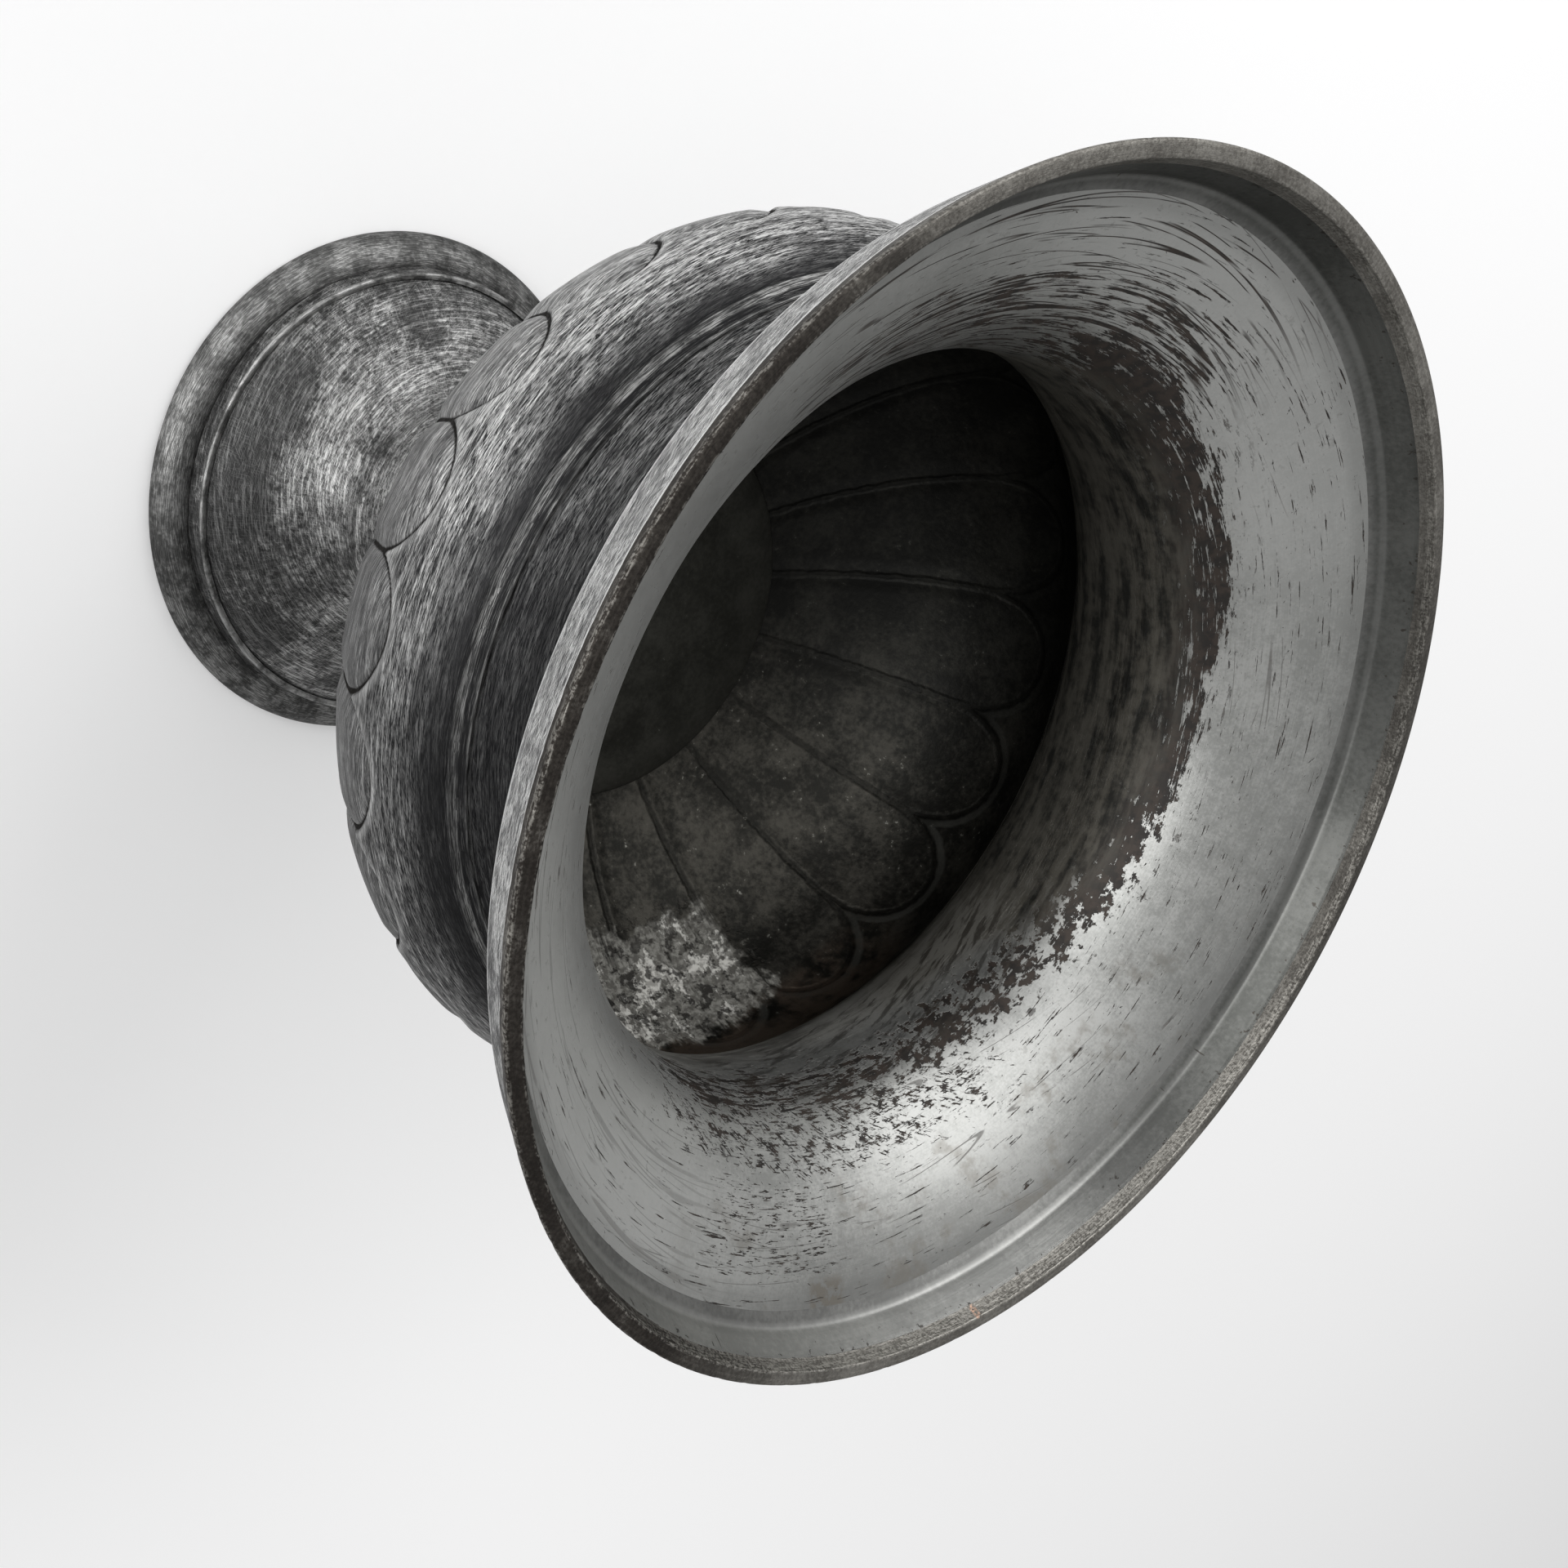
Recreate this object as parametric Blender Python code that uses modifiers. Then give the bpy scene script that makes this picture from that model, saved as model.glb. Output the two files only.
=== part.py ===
"""Communion chalice with a wide trumpet mouth, a round bowl and a hollow trumpet foot.

Metres, +Z up. The origin is the centre of the foot's underside, on the turning axis.
Every profile is given in millimetres as (radius, height) and turned about Z.
"""
import math

import bmesh
import bpy
from mathutils import Vector
from mathutils.geometry import interpolate_bezier

MM = 0.001
COLLECTION = "communion_chalice"
CUTTERS = "cutters"

# Driving dimensions, in millimetres.
HEIGHT = 157.0                # underside of the foot to the top of the lip
MOUTH_RADIUS = 80.0           # outside of the lip
BOWL_RADIUS = 64.0            # outside of the bowl at its widest
BOWL_WIDEST_HEIGHT = 101.0
BOWL_DEPTH = 39.3             # widest ring down to the underside of the bowl
SHOULDER_RISE = 26.8          # the shoulder is part of an ellipse this tall
NECK_RADIUS = 53.1            # outside of the narrowest ring
NECK_HEIGHT = 126.4
SEAM_RADIUS = 57.0            # where the mouth piece meets the bowl
STEM_RADIUS = 20.0
STEM_BORE_RADIUS = 7.5
FOOT_TOP_HEIGHT = 26.0        # the flat top of the foot, which the stem stands on
FOOT_RADIUS = 44.6            # outside of the band round the foot's edge
WALL_MOUTH = 1.8
WALL_BOWL = 2.0
WALL_FOOT = 2.0
GAP = 0.3                     # clearance left between pieces that touch

# Lip and collar.
LIP_WIDTH = 2.4               # the lip's flat top
LIP_HEIGHT = 1.8
LIP_ROUNDING = 0.6
LIP_JOINT_WIDTH = 2.3         # width of the joint between the lip and the collar
COLLAR_BOTTOM = 147.3
COLLAR_LEAN = math.radians(24.3)
COLLAR_FOOT_WIDTH = 1.2       # width of the collar's bottom edge
COLLAR_FOOT_RISE = 0.3        # that edge is a little higher on the inside
COLLAR_RIDGE = (75.4, 150.8)  # inner ridge where the collar turns up from the flare
FLARE_SPACING = 0.4           # radial space between the collar's bottom edge and the flare

# Hoop over the seam. Places along it are measured down the shoulder from the seam.
HOOP_TOP = -1.5
HOOP_BOTTOM = 2.1
HOOP_RIDGES = (-0.85, 1.45)
HOOP_RIDGE_HALF_WIDTH = 0.55
HOOP_PROUD = 0.6
HOOP_RIDGE_PROUD = 0.95

# Disc in the bottom of the bowl.
FLOOR_DISC_RADIUS = 31.4
FLOOR_DISC_TOP = 70.3
FLOOR_DISC_THICKNESS = 1.0
FLOOR_DISC_CROWN = 0.5        # the disc's centre is higher than its edge by this much
FLOOR_DISC_FLAT = 25.4        # radius at which the disc starts to fall away
FLOOR_DISC_FLAT_CROWN = 0.3
FLOOR_DISC_EDGE = 0.6         # rounding of the disc's top edge
FLOOR_DISC_BEVEL = 0.9        # the disc's underside is narrower, to sit in the round bowl

# Bolt, washer and nut.
BOLT_RADIUS = 4.0
BOLT_HEAD_RADIUS = 8.0
BOLT_END_HEIGHT = 12.5
HOLE_CLEARANCE = 0.6          # bolt holes through sheet are this much larger in radius
NUT_ACROSS_FLATS = 14.0
NUT_HEIGHT = 6.0
WASHER_RADIUS = 13.0
WASHER_HEIGHT = 2.0

# Stem and foot.
STEM_WAIST = 1.0              # the stem is this much narrower in radius at mid height
STEM_WAIST_REACH = 4.0
STEM_COLLAR_RADIUS = 26.0
STEM_COLLAR_BOTTOM = 56.3
STEM_COLLAR_OVERHANG = 0.5    # the collar's foot is this much wider than the stem
STEM_COLLAR_EDGE = 1.2
FOOT_SHOULDER = (STEM_RADIUS, 24.5)
FOOT_SHOULDER_ROUNDING = 0.6
FOOT_WAIST_HANDLE = (20.2, 14.5)
FOOT_SPREAD_HANDLE = (34.0, 15.5)
FOOT_EDGE = (38.9, 6.2)
FOOT_LOW = (39.3, 4.7)
FOOT_BEAD_HALF_WIDTH = 0.6
FOOT_BEAD_PROUD = 1.05
FOOT_BAND_INNER = 36.9
FOOT_BAND_SLOPE = 0.8
FOOT_BAND_ROUND_CENTRE = (39.7, 0.9)
REST_RING = (38.4, 43.7)      # inner and outer radius of the flat ring that meets the table

TURN_STEPS = 48
SHARP_ANGLE = math.radians(32)


# ---------------------------------------------------------------- profile helpers

def arc(centre, radius, start, end, count):
    """Points on a circle or, with a pair of radii, on an ellipse; angles in degrees."""
    radius_r, radius_z = radius if isinstance(radius, tuple) else (radius, radius)
    points = []
    for i in range(count):
        angle = math.radians(start + (end - start) * i / (count - 1))
        points.append((centre[0] + radius_r * math.cos(angle), centre[1] + radius_z * math.sin(angle)))
    return points


def curve(start, handle_a, handle_b, end, count):
    """Points along one cubic Bezier stretch of a profile."""
    return [(p.x, p.y) for p in interpolate_bezier(Vector(start), Vector(handle_a),
                                                   Vector(handle_b), Vector(end), count)]


def bent(start, corner, end, count):
    """A stretch that leaves start and reaches end along the two lines that meet at corner."""
    start, corner, end = Vector(start), Vector(corner), Vector(end)
    return curve(start, start.lerp(corner, 2 / 3), end.lerp(corner, 2 / 3), end, count)


def raised(origin, tangent, section):
    """Turns (along, proud) pairs into profile points on a surface that runs down along tangent."""
    origin, tangent = Vector(origin), Vector(tangent).normalized()
    normal = Vector((-tangent.y, tangent.x))
    points = [origin + tangent * along + normal * proud for along, proud in section]
    return [(p.x, p.y) for p in points]


# ---------------------------------------------------------------- scene helpers

def start_scene():
    for old in list(bpy.data.objects):
        bpy.data.objects.remove(old, do_unlink=True)
    for name in (COLLECTION, CUTTERS):
        bpy.context.scene.collection.children.link(bpy.data.collections.new(name))


def metal(name, colour, roughness):
    material = bpy.data.materials.new(name)
    material.use_nodes = True
    shader = material.node_tree.nodes["Principled BSDF"]
    shader.inputs["Base Color"].default_value = (*colour, 1.0)
    shader.inputs["Metallic"].default_value = 1.0
    shader.inputs["Roughness"].default_value = roughness
    return material


def finish(piece, material):
    """Applies the piece's modifiers and shades its round faces smooth."""
    evaluated = piece.evaluated_get(bpy.context.evaluated_depsgraph_get())
    mesh = bpy.data.meshes.new_from_object(evaluated)
    piece.modifiers.clear()
    piece.data = mesh
    mesh.name = piece.name
    mesh.materials.clear()
    mesh.materials.append(material)
    mesh.shade_smooth()
    mesh.set_sharp_from_angle(angle=SHARP_ANGLE)
    return piece


def turned(name, profile, material, closed=True, wall=0.0):
    """Turns a profile about Z. It runs down the outer side; a wall thickens it inwards."""
    mesh = bpy.data.meshes.new(name)
    shape = bmesh.new()
    verts = [shape.verts.new((radius * MM, 0.0, height * MM)) for radius, height in profile]
    pairs = list(zip(verts, verts[1:]))
    if closed:
        pairs.append((verts[-1], verts[0]))
    for pair in pairs:
        shape.edges.new(pair)
    shape.to_mesh(mesh)
    shape.free()
    piece = bpy.data.objects.new(name, mesh)
    bpy.data.collections[COLLECTION].objects.link(piece)
    screw = piece.modifiers.new("turn", "SCREW")
    screw.axis = "Z"
    screw.steps = TURN_STEPS
    screw.render_steps = TURN_STEPS
    screw.use_merge_vertices = True
    screw.merge_threshold = 0.00001
    if wall:
        shell = piece.modifiers.new("wall", "SOLIDIFY")
        shell.thickness = wall * MM
        shell.offset = -1.0
        shell.use_even_offset = True
    return finish(piece, material)


# ---------------------------------------------------------------- the mouth

def seam_sine():
    return math.sqrt(1 - (SEAM_RADIUS / BOWL_RADIUS) ** 2)


def seam_point():
    """Where the mouth piece meets the bowl, on the outside of the shoulder."""
    return Vector((SEAM_RADIUS, BOWL_WIDEST_HEIGHT + SHOULDER_RISE * seam_sine()))


def seam_tangent():
    """Direction down the outside of the bowl's shoulder at the seam."""
    across = Vector((BOWL_RADIUS * seam_sine(), -SHOULDER_RISE * SEAM_RADIUS / BOWL_RADIUS))
    return across.normalized()


def rim_outside(height):
    """Radius of the leaning outside of the lip and collar at a height."""
    return MOUTH_RADIUS - (HEIGHT - LIP_ROUNDING - height) * math.tan(COLLAR_LEAN)


def lip_ring(material):
    """Flat-topped lip with rounded corners."""
    low = HEIGHT - LIP_HEIGHT
    inner = MOUTH_RADIUS - LIP_WIDTH
    corner = LIP_ROUNDING / 4
    profile = [(inner + LIP_ROUNDING, HEIGHT), (MOUTH_RADIUS - LIP_ROUNDING, HEIGHT),
               (MOUTH_RADIUS - corner, HEIGHT - corner), (MOUTH_RADIUS, HEIGHT - LIP_ROUNDING),
               (rim_outside(low), low), (rim_outside(low) - LIP_JOINT_WIDTH, low),
               (inner, HEIGHT - LIP_ROUNDING), (inner + corner, HEIGHT - corner)]
    return turned("lip_ring", profile, material)


def collar_band(material):
    """Leaning band that turns up round the mouth, below the lip."""
    top = HEIGHT - LIP_HEIGHT - GAP
    edge = rim_outside(COLLAR_BOTTOM)
    profile = [(rim_outside(top), top), (edge, COLLAR_BOTTOM),
               (edge - COLLAR_FOOT_WIDTH, COLLAR_BOTTOM + COLLAR_FOOT_RISE), COLLAR_RIDGE,
               (rim_outside(top) - LIP_JOINT_WIDTH, top)]
    return turned("collar_band", profile, material)


def mouth_flare(material):
    """Trumpet mouth and neck in one piece, from the collar down to the seam."""
    rim = (rim_outside(COLLAR_BOTTOM) - COLLAR_FOOT_WIDTH - FLARE_SPACING,
           COLLAR_BOTTOM + 2 * COLLAR_FOOT_RISE)
    neck = (NECK_RADIUS, NECK_HEIGHT)
    seam = seam_point() - seam_tangent() * GAP / 2
    run = (seam.x - NECK_RADIUS) / seam_tangent().x
    flare = bent(rim, (NECK_RADIUS, (rim[1] + NECK_HEIGHT) / 2), neck, 9)
    cavetto = bent(neck, (NECK_RADIUS, seam.y - seam_tangent().y * run), seam, 5)
    return turned("mouth_flare", flare + cavetto[1:], material, closed=False, wall=WALL_MOUTH)


def neck_band(material):
    """Thin hoop soldered over the seam, with a raised ridge along each edge."""
    section = [(HOOP_TOP, GAP)]
    for middle in HOOP_RIDGES:
        section += [(middle - HOOP_RIDGE_HALF_WIDTH, HOOP_PROUD), (middle, HOOP_RIDGE_PROUD),
                    (middle + HOOP_RIDGE_HALF_WIDTH, HOOP_PROUD)]
    section.append((HOOP_BOTTOM, GAP))
    return turned("neck_band", raised(seam_point(), seam_tangent(), section), material)


# ---------------------------------------------------------------- the bowl

def bowl_outside(radius, clearance=0.0):
    """Height of the bowl's lower outside at a radius, moved out by a clearance."""
    across = radius / (BOWL_RADIUS + clearance)
    return BOWL_WIDEST_HEIGHT - (BOWL_DEPTH + clearance) * math.sqrt(1 - across * across)


def bowl_body(material):
    """Round bowl in one piece from the seam to the bolt hole in its bottom."""
    centre = (0.0, BOWL_WIDEST_HEIGHT)
    seam = seam_point() + seam_tangent() * GAP / 2
    seam_angle = math.degrees(math.asin((seam.y - BOWL_WIDEST_HEIGHT) / SHOULDER_RISE))
    hole_angle = math.degrees(math.acos((BOLT_RADIUS + HOLE_CLEARANCE) / BOWL_RADIUS))
    shoulder = arc(centre, (BOWL_RADIUS, SHOULDER_RISE), seam_angle, 0, 5)
    lower = arc(centre, (BOWL_RADIUS, BOWL_DEPTH), 0, -hole_angle, 13)
    return turned("bowl_body", shoulder + lower[1:], material, closed=False, wall=WALL_BOWL)


def bowl_floor_disc(material):
    """Disc set into the bottom of the bowl, over the head of the bolt."""
    bottom = FLOOR_DISC_TOP - FLOOR_DISC_THICKNESS
    profile = [(0, FLOOR_DISC_TOP + FLOOR_DISC_CROWN),
               (FLOOR_DISC_FLAT, FLOOR_DISC_TOP + FLOOR_DISC_FLAT_CROWN),
               (FLOOR_DISC_RADIUS - FLOOR_DISC_EDGE, FLOOR_DISC_TOP),
               (FLOOR_DISC_RADIUS, FLOOR_DISC_TOP - FLOOR_DISC_EDGE),
               (FLOOR_DISC_RADIUS - FLOOR_DISC_BEVEL, bottom), (0, bottom)]
    return turned("bowl_floor_disc", profile, material, closed=False)


def tie_bolt(material):
    """Bolt that holds bowl, stem and foot together; its head is under the floor disc."""
    seat = bowl_outside(0) + WALL_BOWL + 3 * GAP
    head_top = FLOOR_DISC_TOP - FLOOR_DISC_THICKNESS - 2 * GAP
    profile = [(0, head_top), (BOLT_HEAD_RADIUS, head_top), (BOLT_HEAD_RADIUS, seat),
               (BOLT_RADIUS, seat), (BOLT_RADIUS, BOLT_END_HEIGHT), (0, BOLT_END_HEIGHT)]
    return turned("tie_bolt", profile, material, closed=False)


# ---------------------------------------------------------------- stem and foot

def stem_collar(material):
    """Flared ring between the top of the stem and the underside of the bowl."""
    steps = 4
    top = []
    for i in range(steps):
        radius = STEM_BORE_RADIUS + (STEM_COLLAR_RADIUS - STEM_BORE_RADIUS) * i / (steps - 1)
        top.append((radius, bowl_outside(radius, 1.5 * GAP)))
    edge = (STEM_COLLAR_RADIUS, top[-1][1] - STEM_COLLAR_EDGE)
    neck = STEM_RADIUS + STEM_COLLAR_OVERHANG
    side = bent(edge, (neck, edge[1] - 1.0), (neck, STEM_COLLAR_BOTTOM), 6)
    return turned("stem_collar", top + side + [(STEM_BORE_RADIUS, STEM_COLLAR_BOTTOM)], material)


def stem_tube(material):
    """Thick stem with a cored bore round the bolt, a little narrower at mid height."""
    top = STEM_COLLAR_BOTTOM - GAP
    bottom = FOOT_TOP_HEIGHT + GAP
    waist = STEM_RADIUS - STEM_WAIST
    middle = (top + bottom) / 2
    outside = curve((STEM_RADIUS, top), (waist, middle + STEM_WAIST_REACH),
                    (waist, middle - STEM_WAIST_REACH), (STEM_RADIUS, bottom), 5)
    return turned("stem_tube", outside + [(STEM_BORE_RADIUS, bottom), (STEM_BORE_RADIUS, top)], material)


def foot_curve(count):
    """Outside of the trumpet foot, from the stem down to its edge."""
    return curve(FOOT_SHOULDER, FOOT_WAIST_HANDLE, FOOT_SPREAD_HANDLE, FOOT_EDGE, count)


def foot_shell(material):
    """Hollow trumpet foot, with a flat top that the stem stands on."""
    hole = (BOLT_RADIUS + HOLE_CLEARANCE, FOOT_TOP_HEIGHT)
    top_edge = (STEM_RADIUS - FOOT_SHOULDER_ROUNDING, FOOT_TOP_HEIGHT)
    profile = [hole, top_edge] + foot_curve(10) + [FOOT_LOW]
    return turned("foot_shell", profile, material, closed=False, wall=WALL_FOOT)


def foot_bead(material):
    """Fine half-round wire round the foot, just above its edge band."""
    points = foot_curve(21)
    tangent = Vector(points[-1]) - Vector(points[-3])
    section = arc((0.0, GAP), (FOOT_BEAD_HALF_WIDTH, FOOT_BEAD_PROUD - GAP), 180, 0, 5)
    return turned("foot_bead", raised(points[-2], tangent, section), material)


def foot_edge_band(material):
    """Rounded band that finishes the foot's edge; its flat underside meets the table."""
    top = FOOT_LOW[1] - GAP
    centre_r, centre_z = FOOT_BAND_ROUND_CENTRE
    outer = arc(FOOT_BAND_ROUND_CENTRE, (FOOT_RADIUS - centre_r, top - centre_z), 90, 0, 6)
    inner, outer_rest = REST_RING
    profile = [(FOOT_BAND_INNER, top - FOOT_BAND_SLOPE)] + outer + [(outer_rest, 0.0), (inner, 0.0)]
    return turned("foot_edge_band", profile, material)


def clamp_washer(material):
    """Washer inside the foot, between its top and the nut."""
    top = FOOT_TOP_HEIGHT - WALL_FOOT - GAP
    bottom = top - WASHER_HEIGHT
    bore = BOLT_RADIUS + HOLE_CLEARANCE
    profile = [(WASHER_RADIUS, top), (WASHER_RADIUS, bottom), (bore, bottom), (bore, top)]
    return turned("clamp_washer", profile, material)


def clamp_nut(material):
    """Hexagon nut under the washer, bored to clear the bolt's thread."""
    top = FOOT_TOP_HEIGHT - WALL_FOOT - WASHER_HEIGHT - 2 * GAP
    middle = (top - NUT_HEIGHT / 2) * MM
    bpy.ops.mesh.primitive_cylinder_add(vertices=6, radius=NUT_ACROSS_FLATS / math.sqrt(3) * MM,
                                        depth=NUT_HEIGHT * MM, location=(0, 0, middle))
    nut = bpy.context.object
    nut.name = "clamp_nut"
    bpy.ops.mesh.primitive_cylinder_add(vertices=24, radius=(BOLT_RADIUS + GAP) * MM,
                                        depth=2 * NUT_HEIGHT * MM, location=(0, 0, middle))
    bore = bpy.context.object
    bore.name = "nut_bore_cutter"
    bore.hide_render = True
    bore.display_type = "WIRE"
    for piece, collection in ((nut, COLLECTION), (bore, CUTTERS)):
        for old in list(piece.users_collection):
            old.objects.unlink(piece)
        bpy.data.collections[collection].objects.link(piece)
    cut = nut.modifiers.new("bore", "BOOLEAN")
    cut.operation = "DIFFERENCE"
    cut.solver = "EXACT"
    cut.object = bore
    return finish(nut, material)


def main():
    start_scene()
    patina = metal("dark_patina", (0.16, 0.16, 0.155), 0.42)
    tinned = metal("tinned_bronze", (0.42, 0.42, 0.40), 0.35)
    lip = metal("worn_lip", (0.20, 0.18, 0.155), 0.45)
    floor = metal("stained_floor", (0.07, 0.07, 0.062), 0.55)
    steel = metal("plain_steel", (0.45, 0.45, 0.46), 0.4)
    lip_ring(lip)
    collar_band(patina)
    mouth_flare(tinned)
    neck_band(patina)
    bowl_body(patina)
    bowl_floor_disc(floor)
    tie_bolt(steel)
    stem_collar(patina)
    stem_tube(patina)
    foot_shell(patina)
    foot_bead(patina)
    foot_edge_band(patina)
    clamp_washer(steel)
    clamp_nut(steel)


main()
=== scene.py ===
"""Looks of the communion chalice: fine turned meshes and worn-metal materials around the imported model."""
import math

import bmesh
import bpy
import numpy as np
from mathutils import Matrix, Vector


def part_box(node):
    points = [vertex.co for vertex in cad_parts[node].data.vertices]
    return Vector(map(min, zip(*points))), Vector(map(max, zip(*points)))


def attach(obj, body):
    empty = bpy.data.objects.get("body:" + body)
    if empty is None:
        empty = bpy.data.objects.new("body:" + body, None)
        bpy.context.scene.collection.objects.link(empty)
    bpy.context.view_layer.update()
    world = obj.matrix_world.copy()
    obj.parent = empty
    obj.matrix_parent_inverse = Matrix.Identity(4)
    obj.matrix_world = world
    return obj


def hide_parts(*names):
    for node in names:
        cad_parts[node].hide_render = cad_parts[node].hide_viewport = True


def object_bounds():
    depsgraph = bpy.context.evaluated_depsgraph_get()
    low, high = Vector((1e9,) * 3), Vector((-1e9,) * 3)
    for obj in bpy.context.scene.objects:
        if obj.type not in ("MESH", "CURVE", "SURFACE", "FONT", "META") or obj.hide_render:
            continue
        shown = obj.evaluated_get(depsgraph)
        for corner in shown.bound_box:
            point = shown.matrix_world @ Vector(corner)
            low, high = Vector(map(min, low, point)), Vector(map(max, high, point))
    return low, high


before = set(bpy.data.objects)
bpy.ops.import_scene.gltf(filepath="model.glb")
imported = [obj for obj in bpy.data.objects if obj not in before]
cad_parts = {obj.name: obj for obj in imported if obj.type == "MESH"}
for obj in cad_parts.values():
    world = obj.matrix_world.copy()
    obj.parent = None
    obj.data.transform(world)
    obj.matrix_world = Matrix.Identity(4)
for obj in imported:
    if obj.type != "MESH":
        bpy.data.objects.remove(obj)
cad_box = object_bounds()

MM = 0.001
TAU = 2 * math.pi

# ---------------------------------------------------------------- sizes, in millimetres

LIP_WIDTH = 2.4
LIP_ROUNDING = 0.6
COLLAR_LEAN = math.radians(24.3)
COLLAR_RIDGE = (75.1, 150.74)
GROOVE_START = (72.3, 148.78)
GROOVE_HANDLES = ((73.4, 149.50), (74.4, 150.22))
FLARE_WALL = 1.8
NECK_RADIUS = 53.1
NECK_HEIGHT = 126.4
SEAM_RADIUS = 57.0
BOWL_WIDEST_HEIGHT = 101.0
SHOULDER_RISE = 26.8
BOWL_WALL = 2.0
STEM_WAIST = 1.0
FOOT_WALL = 2.0

# Petals chased into the bowl. Each has straight sides and a rounded tip.
PETALS = 20
PETAL_PHASE = 3.5345
PETAL_DRIFT = ((-0.0851, -0.2115), (0.0117, 0.0272))   # uneven spacing: cosine and sine shares
OUTER_TIP_HEIGHT = 102.8
OUTER_TIP_LENGTH = 8.8
INNER_TIP_HEIGHT = 102.4
INNER_TIP_LENGTH = 13.0
TIP_TILT = 1.8                                         # the inner tips climb by this much
TIP_TILT_TOWARDS = math.radians(95)
RING_CLIMBS_TOWARDS = math.radians(85)                 # the worn ring in the throat is highest here


def placed(name, data):
    """A new object in the scene."""
    made = bpy.data.objects.new(name, data)
    bpy.context.scene.collection.objects.link(made)
    return made


def reach(node):
    """Outer radius of a CAD node."""
    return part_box(node)[1].x / MM


def top_of(node):
    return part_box(node)[1].z / MM


def bottom_of(node):
    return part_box(node)[0].z / MM


LIP_RADIUS = reach("lip_ring")
LIP_TOP = top_of("lip_ring")
BOWL_RADIUS = reach("bowl_body")
BOWL_DEPTH = BOWL_WIDEST_HEIGHT - bottom_of("bowl_body")


# ---------------------------------------------------------------- outlines

def curve(start, handle_a, handle_b, end, count):
    """Points along a cubic Bezier stretch, both ends included."""
    t = np.linspace(0, 1, count)[:, None]
    a, b, c, d = (np.array(p, float) for p in (start, handle_a, handle_b, end))
    return (1 - t) ** 3 * a + 3 * (1 - t) ** 2 * t * b + 3 * (1 - t) * t ** 2 * c + t ** 3 * d


def bent(start, corner, end, count):
    """A stretch that leaves start and reaches end along the two lines that meet at corner."""
    start, corner, end = (np.array(p, float) for p in (start, corner, end))
    return curve(start, start + (corner - start) * 2 / 3, end + (corner - end) * 2 / 3, end, count)


def ellipse(centre, radius_r, radius_z, start, end, count):
    angle = np.radians(np.linspace(start, end, count))
    return np.column_stack([centre[0] + radius_r * np.cos(angle), centre[1] + radius_z * np.sin(angle)])


def normals_of(points, closed):
    """Outward directions of an outline that runs down its outer side."""
    if closed:
        ahead, behind = np.roll(points, -1, 0), np.roll(points, 1, 0)
    else:
        ahead = np.vstack([points[1:], points[-1:]])
        behind = np.vstack([points[:1], points[:-1]])
    tangent = ahead - behind
    tangent /= np.maximum(np.linalg.norm(tangent, axis=1), 1e-9)[:, None]
    return np.column_stack([-tangent[:, 1], tangent[:, 0]])


def inner_side(points, wall):
    """The same stretch moved inwards by the wall's thickness, running back up."""
    return (points - normals_of(points, False) * wall)[::-1]


def rounded(corners, steps=4):
    """A closed outline whose corners, given as (radius, height, rounding), are rounded off."""
    points = []
    for i, (r, z, rounding) in enumerate(corners):
        here = np.array([r, z])
        before = np.array(corners[i - 1][:2]) - here
        after = np.array(corners[(i + 1) % len(corners)][:2]) - here
        if rounding == 0:
            points.append(here)
            continue
        start = here + before / np.linalg.norm(before) * min(rounding, np.linalg.norm(before) * 0.45)
        end = here + after / np.linalg.norm(after) * min(rounding, np.linalg.norm(after) * 0.45)
        points.extend(bent(start, here, end, steps))
    return np.array(points)


def filled(points, spacing, closed=True):
    """Adds points so that no step along an outline is longer than spacing."""
    made = []
    count = len(points) if closed else len(points) - 1
    for i in range(count):
        a, b = points[i], points[(i + 1) % len(points)]
        parts = max(1, int(math.ceil(np.linalg.norm(b - a) / spacing)))
        for k in range(parts):
            made.append(a + (b - a) * k / parts)
    if not closed:
        made.append(points[-1])
    return np.array(made)


# ---------------------------------------------------------------- turned pieces

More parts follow.
